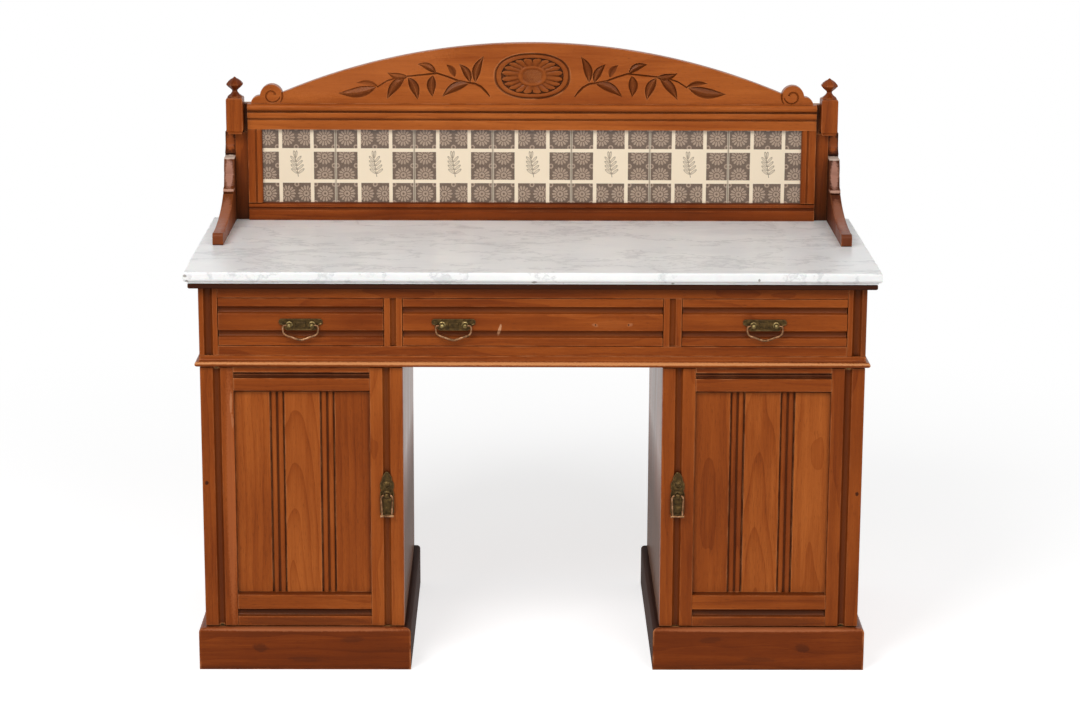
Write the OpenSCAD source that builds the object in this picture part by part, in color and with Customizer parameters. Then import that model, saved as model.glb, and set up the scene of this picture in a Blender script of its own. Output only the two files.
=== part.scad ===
// Pedestal washstand with a marble slab and a tiled upstand.
// Millimetres, +Z up, front towards -Y, origin on the floor under the middle of the whole piece.

/* [Carcase] */
// Width of the carcase over its two outer sides
carcase_w = 1202; // [1140:1:1300]
// Depth of the carcase from door face to back
carcase_d = 510; // [470:1:560]
// Width of one pedestal
pedestal_w = 366; // [330:1:400]
// Thickness of the pedestal sides and frieze ends
side_t = 18; // [15:0.5:21]
// Thickness of the thin boards behind the pedestals, the frieze and the tiles
back_t = 10; // [8:0.5:12]
// Thickness of the bottom, top and shelf boards in the pedestals
shelf_t = 15; // [12:0.5:18]
// Height of the shelf above the cupboard floor
shelf_h = 235; // [180:1:290]
// Height and width of the battens under the shelf
batten = 16; // [12:0.5:20]
// Side of the square blocks in the plinth corners
block = 25; // [20:0.5:30]

/* [Plinth and waist moulding] */
// Height of the plinth
plinth_h = 79; // [65:1:95]
// How far the plinth stands out from the carcase
plinth_out = 12; // [9:0.5:13]
// How far the plinth boards reach in behind the carcase faces
plinth_in = 4; // [2:0.5:4.5]
// Radius of the plinth's top edge
plinth_round = 7; // [4:0.5:8]
// Thickness of the waist board between pedestals and frieze
waist_t = 20; // [17:0.5:24]
// How far the waist nosing stands out from the carcase
waist_out = 8.5; // [6:0.5:11]
// How far the nosing strips reach in behind the carcase faces
nosing_in = 4; // [2:0.5:4.5]

/* [Doors] */
// Height of a door
door_h = 490; // [440:1:540]
// Thickness of a door
door_t = 22; // [20:0.5:24]
// Gap above and below a door
door_gap = 2; // [1.5:0.1:3]
// Gap between a shut door and the carcase edges behind it
door_back_gap = 1.5; // [1:0.1:2]
// Width of a door stile
stile_w = 60; // [54:0.5:66]
// Distance from the door's edge to the middle of a stile's flute
flute_in = 30; // [26:0.5:33]
// Width of the flute down each stile
flute_w = 13.5; // [10:0.5:16]
// Height of a door's top rail
door_top_rail = 47; // [42:0.5:56]
// Height of a door's bottom rail
door_bottom_rail = 63; // [56:0.5:72]
// How far the panel lies behind the door face
panel_recess = 8; // [6:0.5:10]
// Thickness of the panel boards
panel_t = 8; // [6:0.5:9]
// Width of a reeded strip
reed_w = 27; // [22:0.5:30]
// Radius of the pivot pins
pivot_r = 3; // [2.5:0.1:3.5]
// Distance of the pivot from the door's outer edge
pivot_in = 9; // [8:0.5:10]
// Running clearance round a pin
pin_gap = 0.05; // [0.03:0.01:0.1]

/* [Drawers] */
// Height of the bottom rail under the drawers
low_rail_h = 17.7; // [15:0.1:22]
// Height of the drawer openings
drawer_h = 88.5; // [80:0.5:100]
// Height of the top rail over the drawers
high_rail_h = 19.8; // [16:0.1:24]
// Width of the fluted stile at each end of the frieze
end_stile_w = 34; // [30:0.5:38]
// Width of the fluted dividers between the drawers
divider_w = 33; // [29:0.5:37]
// Width of the centre drawer opening
centre_w = 470; // [430:1:510]
// Thickness of the drawer fronts, rails and stiles
front_t = 20; // [18:0.5:22]
// Gap round a drawer front
drawer_gap = 0.7; // [0.5:0.1:1.2]
// Thickness of the drawer sides and back
drawer_side_t = 9; // [7:0.5:11]
// Thickness of a drawer bottom
drawer_base_t = 6; // [4:0.5:8]
// Room behind a shut drawer, where its stops are
drawer_back_room = 50; // [36:1:100]
// Thickness of the partitions behind the dividers
partition_t = 15; // [12:0.5:18]
// Width of the runners and kickers
runner_w = 30; // [24:0.5:34]

/* [Handles] */
// Width of a drawer handle plate
plate_w = 79; // [70:0.5:86]
// Height of a drawer handle plate
plate_h = 21; // [18:0.5:24]
// Thickness of the handle plates
plate_t = 2.5; // [2:0.1:3.2]
// Distance between the two posts of a drawer handle
post_gap = 41; // [36:0.5:46]
// Radius of the handle posts
post_r = 4.2; // [3.6:0.1:4.8]
// How far the posts stand out from the plate
post_out = 10; // [8:0.5:11]
// Radius of the bail rods
bail_r = 1.7; // [1.5:0.1:2]
// How far the bail's shoulders stand outside its posts
bail_shoulder = 6.8; // [6:0.1:9]
// Drop of a drawer bail at its middle
bail_drop = 27; // [23:0.5:31]
// Height of a door pull plate
pull_h = 82; // [74:0.5:90]
// Width of a door pull plate
pull_w = 25; // [22:0.5:28]
// Height of the door pull's swing axis above the door's lower edge
pull_up = 252; // [200:1:300]
// Height of the drawer handles' swing axis above the drawer opening's lower edge
handle_up = 40; // [36:0.5:48]
// Distance of the centre drawer's two handle places from the middle
centre_handle_x = 142.7; // [120:0.1:170]
// Half width of the drop handle on a door
drop_half_w = 10.5; // [9:0.5:12]
// Length of the drop handle on a door
drop_len = 39; // [34:0.5:44]

/* [Marble] */
// Thickness of the wooden board under the slab
sub_t = 10; // [8:0.5:13]
// How far that board stands out from the carcase
sub_out = 16.5; // [12:0.5:18]
// Thickness of the marble slab
slab_t = 22; // [19:0.5:26]
// How far the slab stands out at the front and ends
slab_out = 24; // [20:0.5:30]

/* [Upstand] */
// Side of a square tile
tile = 152.4; // [140:0.1:153]
// Thickness of a tile
tile_t = 8; // [6:0.5:9]
// Joint between tiles
tile_joint = 0.6; // [0.4:0.1:1.5]
// How far the rails cover the tiles above and below
tile_lap = 4.1; // [3:0.1:6]
// How far the stiles cover the end tiles
tile_end_lap = 11; // [8:0.5:13]
// Height of the upstand's bottom rail
foot_rail_h = 34.3; // [30:0.1:40]
// Height of the upstand's top rail
head_rail_h = 50; // [44:0.5:56]
// Width of the upstand's stiles
upstand_stile_w = 27.8; // [24:0.1:32]
// Thickness of the upstand's rails and stiles
frame_t = 20; // [18:0.5:22]
// Side of the square post heads
post = 32; // [28:0.5:34]
// Height of a post head
post_head_h = 70; // [60:0.5:80]
// Height of a finial above its post
finial_h = 40; // [38:0.5:46]
// Thickness of the shaped wings
wing_t = 20; // [17:0.5:22]
// Least distance of the wings from the carcase's outer sides; what the whole tiles leave is added to it
wing_in = 1; // [0:0.5:4]
// How far a wing stands outside its post
wing_out = 6; // [3:0.5:8]
// How far the wings run forward from the back
wing_d = 288; // [240:1:320]
// Height of a wing's foot
wing_foot_h = 22; // [16:0.5:28]
// Height of the arched pediment above the rail
arch_h = 118.8; // [108:0.1:130]
// Height of the arch's ends above the rail
arch_end_h = 24; // [18:0.5:30]
// Thickness of the pediment
pediment_t = 20; // [17:0.5:20]
// Radius of the scrolls at the pediment's ears
ear_r = 22; // [18:0.5:25]
// Height of the carved oval's middle above the rail
oval_up = 55; // [52:0.5:60]
// Half length of the carved oval
oval_a = 74; // [64:1:84]
// Half height of the carved oval
oval_b = 45; // [38:0.5:48]

/* [Hidden] */
$fn = 48;

// Colours as the photo shows them
walnut = [0.60, 0.29, 0.12];
walnut_dark = [0.36, 0.16, 0.07];
pine = [0.78, 0.62, 0.42];
marble = [0.90, 0.90, 0.88];
glaze = [0.45, 0.40, 0.36];
brass = [0.45, 0.38, 0.22];

// Levels, from the floor up
door_z = plinth_h + door_gap;
waist_z = door_z + door_h + door_gap;
bottom_z = plinth_h - side_t;
shelf_z = plinth_h + shelf_h;
pull_z = door_z + pull_up;
frieze_z = waist_z + waist_t;
drawer_z = frieze_z + low_rail_h;
drawer_top = drawer_z + drawer_h;
handle_z = drawer_z + handle_up;
sub_z = drawer_top + high_rail_h;
slab_z = sub_z + sub_t;
top_z = slab_z + slab_t;
tile_z = top_z + foot_rail_h - tile_lap;
head_rail_z = tile_z + tile - tile_lap;
arch_z = head_rail_z + head_rail_h;

// Places across the width
half_w = carcase_w / 2;
inner_x = half_w - pedestal_w;
centre_half = centre_w / 2;
side_open_x0 = centre_half + divider_w;
side_open_x1 = half_w - end_stile_w;
side_mid = (side_open_x0 + side_open_x1) / 2;
partition_x = centre_half + (divider_w - partition_t) / 2;
pivot_x = half_w - pivot_in;
pull_x = inner_x + flute_in;
post_gap_in = 7;
// As many whole tiles as fit between the stiles, posts and wings, which stand beside the row
beside_tiles = upstand_stile_w - tile_end_lap + post_gap_in + post + wing_out;
tile_count = floor((2 * (half_w - wing_in - beside_tiles) + tile_joint) / (tile + tile_joint));
tile_row = tile_count * tile + (tile_count - 1) * tile_joint;
sight_half = tile_row / 2 - tile_end_lap;
frame_half = sight_half + upstand_stile_w;
post_half = frame_half + post_gap_in + post / 2;
wing_x = tile_row / 2 + beside_tiles;

// Small sizes
seat_gap = 0.3;
// Plaster bed behind the tiles
tile_bed = 2;
// Lengths that only have to reach past the model
far = 100;

// Places from front to back: the carcase's door face is y = 0 inside the modules
front_y = (slab_out - carcase_d) / 2;
back_y = carcase_d - back_t;
case_y = door_t + door_back_gap;
pivot_y = door_t / 2;
frame_y = back_y - frame_t;
tile_y = back_y - tile_bed - tile_t;
drawer_box_d = back_y - front_t - drawer_back_room;
stop_y = front_t + drawer_box_d + seat_gap;
shelf_y0 = case_y + 30;
plinth_t = plinth_out + plinth_in;

flute_depth = 6;
// Flat bands beside the flutes of the frieze stiles and dividers
stile_band = 9;
divider_band = 11;
pin_hole_r = pivot_r + pin_gap;
pivot_plate_t = 2.5;
pivot_plate_l = 40;
pivot_plate_w = 12;
pivot_pin_h = 8;
pivot_plate_end = 4;
pin_room = 0.5;
pivot_collar_r = 5;
door_back_round = 8;
bail_pin_r = 1.4;
drop_out = plate_t + post_out - 4;
bail_half_w = post_gap / 2 + post_r + bail_shoulder;
cut = 1;
// Glue line between boards of one node
hair = 0.1;

// Helpers
module at_front() { translate([0, front_y, 0]) children(); }
module both() {
    children();
    mirror([1, 0, 0]) children();
}
module on_side(left) { mirror([left ? 1 : 0, 0, 0]) children(); }
module board(x, y, z) {
    translate([x[0], y[0], z[0]]) cube([x[1] - x[0], y[1] - y[0], z[1] - z[0]]);
}
// A profile drawn in (y, z) and run along X
module along_x(x0, x1) { translate([x0, 0, 0]) rotate([90, 0, 90]) linear_extrude(x1 - x0) children(); }
// A profile drawn in (x, z) and run along Y
module along_y(y0, y1) { translate([0, y1, 0]) rotate([90, 0, 0]) linear_extrude(y1 - y0) children(); }
// Points of an arc
function arc(cx, cy, r, a0, a1, n) =
    [for (i = [0:n]) let (a = a0 + (a1 - a0) * i / n) [cx + r * cos(a), cy + r * sin(a)]];
function flip(pts) = [for (i = [len(pts) - 1:-1:0]) pts[i]];

// A block with the same moulded edge on its front and both ends, mitred at the corners.
// Each edge point is [how far out, how high].
module moulded_block(x0, x1, y1, z, edge) {
    intersection() {
        along_y(-far, y1) polygon(concat([for (p = edge) [x1 + p[0], z + p[1]]],
            flip([for (p = edge) [x0 - p[0], z + p[1]]])));
        along_x(x0 - far, x1 + far) polygon(concat([for (p = edge) [-p[0], z + p[1]]],
            [[y1, z + edge[len(edge) - 1][1]], [y1, z + edge[0][1]]]));
    }
}

// Marble slab: ovolo below, square nose, rounded top arris
slab_nose = 7;
slab_arris = 4;
module marble_top() at_front() color(marble) {
    h = slab_t - slab_arris;
    edge = concat([[slab_out - slab_nose, 0]],
        arc(slab_out - slab_nose, slab_nose + 3, slab_nose, -90, 0, 6),
        arc(slab_out - slab_arris, h, slab_arris, 0, 90, 6));
    moulded_block(-half_w, half_w, carcase_d, slab_z, edge);
}

module sub_top() at_front() color(walnut_dark)
    moulded_block(-half_w, half_w, carcase_d, sub_z,
        concat([[sub_out - 2, 0], [sub_out, 2]], [[sub_out, sub_t - 2], [sub_out - 2, sub_t]]));

// Frieze: the drawer carcase
module frieze_ends() at_front() color(walnut) both()
    board([half_w - side_t, half_w], [front_t, carcase_d], [frieze_z, sub_z]);

module fluted_post(x0, x1, z0, z1, groove) {
    mid = (x0 + x1) / 2;
    difference() {
        board([x0, x1], [0, front_t], [z0, z1]);
        translate([mid, -flute_r(groove) + flute_depth * groove / flute_w, z0 - cut])
            cylinder(r = flute_r(groove), h = z1 - z0 + 2 * cut);
    }
}
// Radius of a hollow of a given width and in-keeping depth
function hollow_depth(w) = flute_depth * w / flute_w;
function flute_r(w) = (pow(w / 2, 2) + pow(hollow_depth(w), 2)) / (2 * hollow_depth(w));

module frieze_stiles() at_front() color(walnut) both()
    fluted_post(side_open_x1, half_w, frieze_z, sub_z, end_stile_w - 2 * stile_band);

module frieze_dividers() at_front() color(walnut) both()
    fluted_post(centre_half, side_open_x0, drawer_z, drawer_top, divider_w - 2 * divider_band);

module drawer_partitions() at_front() color(pine) both()
    board([partition_x, partition_x + partition_t], [front_t, back_y], [frieze_z, sub_z]);

module frieze_top_rail() at_front() color(walnut)
    board([-side_open_x1, side_open_x1], [0, front_t], [drawer_top, sub_z]);

module frieze_bottom_rail() at_front() color(walnut)
    board([-side_open_x1, side_open_x1], [0, front_t], [frieze_z, drawer_z]);

module frieze_back() at_front() color(pine)
    board([side_t - half_w, half_w - side_t], [back_y, carcase_d], [frieze_z, sub_z]);

// Waist board and the nosing round it
nose_r = 4;
waist_edge = concat(arc(waist_out - nose_r, nose_r, nose_r, -90, 20, 8),
    [[1.5, waist_t - 2.5], [1.5, waist_t]]);
module waist_form() moulded_block(-half_w, half_w, carcase_d, waist_z, waist_edge);

module waist_board() at_front() color(walnut) difference() {
    board([nosing_in - half_w, half_w - nosing_in], [nosing_in, carcase_d], [waist_z, frieze_z]);
    both() {
        translate([pivot_x, pivot_y, waist_z - cut]) cylinder(r = pin_hole_r + pin_room, h = pivot_pin_h + 4);
        pivot_plate(waist_z - cut, pivot_plate_t + cut);
    }
}
// The space of a pivot plate whose underside is at height z
module pivot_plate(z, h)
    translate([pivot_x + pivot_plate_end - pivot_plate_l, pivot_y - pivot_plate_w / 2, z])
        cube([pivot_plate_l, pivot_plate_w, h]);

module waist_moulding() at_front() color(walnut) {
    intersection() {
        waist_form();
        board([-half_w - far, half_w + far], [-far, nosing_in], [waist_z - cut, frieze_z + cut]);
    }
    both() intersection() {
        waist_form();
        board([half_w - nosing_in, half_w + far], [nosing_in + hair, carcase_d],
            [waist_z - cut, frieze_z + cut]);
    }
}

// Runner with a guide that keeps the drawer straight, in L section
guide_h = 18;
module runner(x, guide_x) {
    board(x, [front_t, back_y], [frieze_z, drawer_z]);
    board(guide_x, [front_t, back_y], [drawer_z, drawer_z + guide_h]);
}
module drawer_runners() at_front() color(pine) both() {
    runner([centre_half - runner_w, partition_x], [centre_half, partition_x]);
    runner([partition_x + partition_t, side_open_x0 + runner_w], [partition_x + partition_t, side_open_x0]);
    runner([side_open_x1 - runner_w, half_w - side_t], [side_open_x1, half_w - side_t]);
}

module drawer_kickers() at_front() color(pine) both() {
    board([centre_half - runner_w, partition_x], [front_t, back_y], [drawer_top, sub_z]);
    board([partition_x + partition_t, side_open_x0 + runner_w], [front_t, back_y], [drawer_top, sub_z]);
    board([side_open_x1 - runner_w, half_w - side_t], [front_t, back_y], [drawer_top, sub_z]);
}

// Small blocks at the back of each runner, which the drawer sides meet when shut
stop = [runner_w - 8, 22, 14];
module drawer_stops() at_front() color(pine) both()
    for (x = [centre_half - runner_w, side_open_x0, side_open_x1 - runner_w])
        translate([x + (runner_w - stop[0]) / 2, stop_y, drawer_z]) cube(stop);

// Pedestals
module pedestal_side(x0) at_front() color(walnut) difference() {
    board([x0, x0 + side_t], [case_y, carcase_d], [plinth_h, waist_z]);
    if (x0 == inner_x)
        translate([x0 + side_t / 2, case_y - cut, catch_z]) rotate([-90, 0, 0])
            cylinder(r = catch_r, h = catch_l + cut);
}
module left_outer_side() on_side(true) pedestal_side(half_w - side_t);
module left_inner_side() on_side(true) pedestal_side(inner_x);
module right_inner_side() pedestal_side(inner_x);
module right_outer_side() pedestal_side(half_w - side_t);

plinth_edge = concat([[plinth_out, 0]],
    arc(plinth_out - plinth_round, plinth_h - plinth_round, plinth_round, 0, 90, 8));
module plinth_form() moulded_block(inner_x, half_w, carcase_d, 0, plinth_edge);
module plinth() at_front() color(walnut) {
    z = [-cut, plinth_h + cut];
    x0 = inner_x + plinth_in;
    x1 = half_w - plinth_in;
    intersection() {
        plinth_form();
        board([inner_x - far, half_w + far], [-far, plinth_in], z);
    }
    intersection() {
        plinth_form();
        board([x1, half_w + far], [plinth_in + hair, carcase_d], z);
    }
    intersection() {
        plinth_form();
        board([inner_x - far, x0], [plinth_in + hair, carcase_d], z);
    }
    board([x0 + hair, x1 - hair], [carcase_d - plinth_t, carcase_d], [0, plinth_h]);
}
module left_plinth() on_side(true) plinth();
module right_plinth() plinth();

module plinth_blocks() at_front() color(pine) both()
    for (x = [inner_x + plinth_in, half_w - plinth_in - block])
        for (y = [plinth_in, carcase_d - plinth_t - block])
            board([x, x + block], [y, y + block], [0, bottom_z]);

module pedestal_bottoms() at_front() color(pine) both() difference() {
    board([inner_x + plinth_in, half_w - plinth_in], [plinth_in, carcase_d - plinth_t], [bottom_z, plinth_h]);
    translate([pivot_x, pivot_y, plinth_h - pivot_pin_h - 4])
        cylinder(r = pin_hole_r + pin_room, h = pivot_pin_h + 4 + cut);
    pivot_plate(plinth_h - pivot_plate_t, pivot_plate_t + cut);
}

cup_x = [inner_x + side_t, half_w - side_t];
module pedestal_tops() at_front() color(pine) both()
    board(cup_x, [case_y, back_y], [waist_z - shelf_t, waist_z]);

module pedestal_backs() at_front() color(pine) both()
    board(cup_x, [back_y, carcase_d], [plinth_h, waist_z]);

module pedestal_shelves() at_front() color(pine) both()
    board(cup_x, [shelf_y0, back_y], [shelf_z - shelf_t, shelf_z]);

module shelf_battens() at_front() color(pine) both()
    for (x = [cup_x[0], cup_x[1] - batten])
        board([x, x + batten], [shelf_y0 + 10, back_y], [shelf_z - shelf_t - batten, shelf_z - shelf_t]);

// Brass plates with the holes that the door pins turn in
module pivot_sockets() at_front() color(brass) both() {
    for (z = [waist_z, plinth_h - pivot_plate_t]) difference() {
        pivot_plate(z, pivot_plate_t);
        translate([pivot_x, pivot_y, z - cut]) cylinder(r = pin_hole_r, h = pivot_plate_t + 2 * cut);
    }
}

// Spring ball catches let into the front edges of the inner sides
catch_r = 4.5;
catch_l = 18;
catch_ball_r = 3;
catch_z = pull_z + 60;
module door_catches() at_front() color(brass) both()
    translate([inner_x + side_t / 2, case_y, catch_z]) rotate([-90, 0, 0]) union() {
        cylinder(r = catch_r, h = catch_l);
        translate([0, 0, catch_ball_r - door_back_gap + seat_gap + 0.1]) sphere(r = catch_ball_r);
    }

// Doors, drawn on the right; the left door is the mirror image
door_x0 = inner_x;
door_x1 = half_w;
panel_x = [door_x0 + stile_w, door_x1 - stile_w];
panel_z = [door_z + door_bottom_rail, door_z + door_h - door_top_rail];
module door_stile(x0, flute_x, hung) {
    difference() {
        board([x0, x0 + stile_w], [0, door_t], [door_z, door_z + door_h]);
        translate([flute_x, flute_depth - flute_r(flute_w), door_z - cut])
            cylinder(r = flute_r(flute_w), h = door_h + 2 * cut);
        if (hung) {
            // Back corner by the pivot is rounded so that it clears the carcase as the door turns
            difference() {
                board([door_x1 - door_back_round, door_x1 + cut], [door_t - door_back_round, door_t + cut],
                    [door_z - cut, door_z + door_h + cut]);
                translate([door_x1 - door_back_round, door_t - door_back_round, door_z - 2 * cut])
                    cylinder(r = door_back_round, h = door_h + 4 * cut);
            }
            for (z = [door_z + door_h - pivot_plate_t, door_z - cut])
                pivot_plate(z, pivot_plate_t + cut);
        }
    }
}
// Rail profiles in (y, height), each with a sunk bead or hollow between flat bands
rail_groove = 5;
rail_slope = 4;
rail_bead_z = [20.4, 9];
low_groove_up = 25.2;
low_groove_w = 14.4;
module door_rail_top() {
    h = door_h + door_z;
    z0 = panel_z[1];
    bead_r = 2.6;
    groove = [h - rail_bead_z[0], h - rail_bead_z[1]];
    mid = (groove[0] + groove[1]) / 2;
    along_x(panel_x[0] + hair, panel_x[1] - hair) difference() {
        polygon([[0, z0 + rail_slope], [panel_recess, z0], [door_t, z0], [door_t, h], [0, h]]);
        difference() {
            translate([-cut, groove[0]]) square([rail_groove + cut, groove[1] - groove[0]]);
            translate([rail_groove - bead_r + 0.6, mid]) circle(r = bead_r);
            translate([rail_groove - bead_r + 0.6, mid - bead_r]) square([bead_r, 2 * bead_r]);
        }
    }
}
module door_rail_bottom() {
    z0 = door_z;
    z1 = panel_z[0];
    r = flute_r(low_groove_w);
    along_x(panel_x[0] + hair, panel_x[1] - hair) difference() {
        polygon([[0, z0], [door_t, z0], [door_t, z1], [panel_recess, z1], [0, z1 - rail_slope]]);
        translate([hollow_depth(low_groove_w) - r, z0 + low_groove_up]) circle(r = r);
    }
}
module door_frame() at_front() color(walnut) {
    door_stile(door_x0, door_x0 + flute_in, false);
    door_stile(door_x1 - stile_w, door_x1 - flute_in, true);
    door_rail_top();
    door_rail_bottom();
}
// Panel of three boards with two reeded strips between them
panel_w = panel_x[1] - panel_x[0];
flat_w = (panel_w - 2 * reed_w) / 3;
quirk = 2.4;
reed_r = (reed_w - 3 * quirk) / 4;
module reeded_strip(x0) {
    root = panel_t / 2;
    translate([x0, panel_recess, panel_z[0]]) linear_extrude(panel_z[1] - panel_z[0]) intersection() {
        translate([hair, root - reed_r]) square([reed_w - 2 * hair, panel_t - root + reed_r]);
        union() {
            translate([0, root]) square([reed_w, panel_t]);
            for (i = [0:1]) translate([quirk + reed_r + i * (2 * reed_r + quirk), root]) circle(r = reed_r);
        }
    }
}
module door_panel() at_front() color(walnut) {
    for (i = [0:2])
        translate([panel_x[0] + i * (flat_w + reed_w), 0, 0])
            board([0, flat_w], [panel_recess, panel_recess + panel_t], panel_z);
    for (i = [0:1]) reeded_strip(panel_x[0] + flat_w + i * (flat_w + reed_w));
}
// Pivot plates let into the top and bottom edges, each with its pin; the lower one has a collar
module door_pivots() at_front() color(brass) {
    pivot_plate(door_z + door_h - pivot_plate_t, pivot_plate_t);
    translate([pivot_x, pivot_y, door_z + door_h]) cylinder(r = pivot_r, h = door_gap + pivot_pin_h);
    pivot_plate(door_z, pivot_plate_t);
    translate([pivot_x, pivot_y, plinth_h - pivot_pin_h]) cylinder(r = pivot_r, h = door_gap + pivot_pin_h);
    translate([pivot_x, pivot_y, plinth_h + seat_gap]) cylinder(r = pivot_collar_r, h = door_gap - seat_gap);
}
// Pull plate with a pointed head, a small upper boss and a bored post for the drop handle
pull_top = pull_z + 43.5;
pull_bot = pull_top - pull_h;
pull_post_r = 5.5;
module pull_plate() at_front() color(brass) {
    w = pull_w / 2;
    translate([pull_x, 0, 0]) {
        along_y(-plate_t, 0) difference() {
            polygon(concat([[-w + 3, pull_bot], [w - 3, pull_bot], [w, pull_bot + 5], [w, pull_top - 22],
                [w - 3, pull_top - 17]], [[w - 4, pull_top - 10], [3.5, pull_top - 2], [0, pull_top],
                [-3.5, pull_top - 2], [4 - w, pull_top - 10], [3 - w, pull_top - 17]],
                [[-w, pull_top - 22], [-w, pull_bot + 5]]));
            for (s = [-1, 1]) translate([s * (w + 2.2), pull_z + 8]) circle(r = 4);
        }
        translate([0, -plate_t, pull_z + 19]) rotate([90, 0, 0]) cylinder(r1 = 6, r2 = 3, h = 2.5);
        bored_post(pull_z, pull_post_r);
    }
}
// A round post standing out of a plate, bored from side to side for the bail's pins
module bored_post(z, r) {
    difference() {
        translate([0, -plate_t, z]) rotate([90, 0, 0]) union() {
            cylinder(r = r, h = post_out);
            translate([0, 0, post_out]) sphere(r = r * 0.75);
        }
        translate([-2 * r, -drop_out, z]) rotate([0, 90, 0]) cylinder(r = bail_pin_r + pin_gap, h = 4 * r);
    }
}
// A flat bar of half width r bent along a line of points, mitred at each bend
function unit(v) = v / norm(v);
function square_to(v) = [-v[1], v[0]];
function edge_of(pts, r) = [for (i = [0:len(pts) - 1])
    let (before = max(i, 1), after = min(i + 1, len(pts) - 1),
         a = square_to(unit(pts[before] - pts[before - 1])),
         b = square_to(unit(pts[after] - pts[after - 1])),
         n = unit(a + b))
    pts[i] + n * r / (n * a)];
module bar(pts, r) { along_y(-r, r) polygon(concat(edge_of(pts, r), flip(edge_of(pts, -r)))); }
// The points of one half of a handle, then the same points mirrored to the other side
function mirrored(pts) = concat([for (p = pts) [-p[0], p[1]]], flip(pts));
// The two pins of a handle, which turn in the bores of its posts
module pins(x0, x1) {
    for (s = [-1, 1]) translate([s * x0, 0, 0]) rotate([0, s * 90, 0]) cylinder(r = bail_pin_r, h = x1 - x0);
}
module pull_drop() at_front() color(brass) translate([pull_x, -drop_out, pull_z]) {
    w = drop_half_w;
    pins(1, w - 1);
    bar(mirrored([[w - 2.5, 0.5], [w, -2], [w - 1, 5 - drop_len], [w - 4, -drop_len]]), bail_r);
}

module left_door_frame() on_side(true) door_frame();
module left_door_panel() on_side(true) door_panel();
module left_door_pivots() on_side(true) door_pivots();
module left_pull_plate() on_side(true) pull_plate();
module left_pull_drop() on_side(true) pull_drop();
module right_door_frame() door_frame();
module right_door_panel() door_panel();
module right_door_pivots() door_pivots();
module right_pull_plate() pull_plate();
module right_pull_drop() pull_drop();

// Drawers: x holds the opening's two sides
band = 15.6;
hollow = 13.4;
screw_x = 30;
screw_r = 1.5;
screw_l = 9;
// Empty screw holes are left at each place in holes_at
module drawer_front(x, holes_at) at_front() color(walnut) difference() {
    along_x(x[0] + drawer_gap, x[1] - drawer_gap) difference() {
        translate([0, drawer_z + drawer_gap]) square([front_t, drawer_h - 2 * drawer_gap]);
        for (z = [drawer_z + band + hollow / 2, drawer_top - band - hollow / 2])
            translate([hollow_depth(hollow) - flute_r(hollow), z]) circle(r = flute_r(hollow));
    }
    for (x0 = holes_at) for (s = [-1, 1]) translate([x0 + s * screw_x, -cut, handle_z])
        rotate([-90, 0, 0]) cylinder(r = screw_r, h = screw_l + cut);
}
box_z = drawer_z + seat_gap;
box_top = drawer_top - 4;
base_up = 8;
back_down = 8;
module drawer_box(x) at_front() color(pine) {
    x0 = x[0] + drawer_gap;
    x1 = x[1] - drawer_gap;
    t = drawer_side_t;
    y1 = front_t + drawer_box_d;
    in_x = [x0 + t + hair, x1 - t - hair];
    base = [box_z + base_up, box_z + base_up + drawer_base_t];
    for (s = [x0, x1 - t]) board([s, s + t], [front_t, y1], [box_z, box_top]);
    board(in_x, [y1 - t, y1], [base[1] + hair, box_top - back_down]);
    board(in_x, [front_t, y1], base);
}
// Handle plate: wide at the top, with hollowed lower corners, a raised field and two bored posts
field = [19, 9];
module handle_plate(x) at_front() color(brass) translate([x, 0, 0]) {
    w = plate_w / 2;
    h = plate_h / 2;
    along_y(-plate_t, 0) difference() {
        polygon([[-w + 3, handle_z + h], [w - 3, handle_z + h], [w, handle_z + h - 4], [w - 1, handle_z + 1],
            [w - 10, handle_z - h + 4], [w - 14, handle_z - h], [14 - w, handle_z - h],
            [10 - w, handle_z - h + 4], [1 - w, handle_z + 1], [-w, handle_z + h - 4]]);
        for (s = [-1, 1]) translate([s * (w - 1), handle_z - h + 1]) circle(r = 7);
    }
    along_y(-plate_t - 1, -plate_t) translate([0, handle_z]) square(field, center = true);
    for (s = [-1, 1]) translate([s * post_gap / 2, 0, 0]) bored_post(handle_z, post_r);
}
module handle_bail(x) at_front() color(brass) translate([x, -drop_out, handle_z]) {
    w = bail_half_w;
    pins(post_gap / 2 - 1, w - 2);
    shoulder = concat([[w - 4, 0.5]], arc(w - 3, -4, 3.5, 60, 0, 3));
    bow = [[w - 0.5, 13.5 - bail_drop], [w - 3, 10 - bail_drop], [8, 2.5 - bail_drop], [3, 0.5 - bail_drop]];
    bar(mirrored(concat(shoulder, bow)), bail_r);
}
side_x = [side_open_x0, side_open_x1];
other_x = [-side_open_x1, -side_open_x0];
centre_x = [-centre_half, centre_half];
module left_drawer_front() drawer_front(other_x, []);
module left_drawer_box() drawer_box(other_x);
module left_handle_plate() handle_plate(-side_mid);
module left_handle_bail() handle_bail(-side_mid);
module centre_drawer_front() drawer_front(centre_x, [centre_handle_x]);
module centre_drawer_box() drawer_box(centre_x);
module centre_handle_plate() handle_plate(-centre_handle_x);
module centre_handle_bail() handle_bail(-centre_handle_x);
module right_drawer_front() drawer_front(side_x, []);
module right_drawer_box() drawer_box(side_x);
module right_handle_plate() handle_plate(side_mid);
module right_handle_bail() handle_bail(side_mid);

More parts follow.
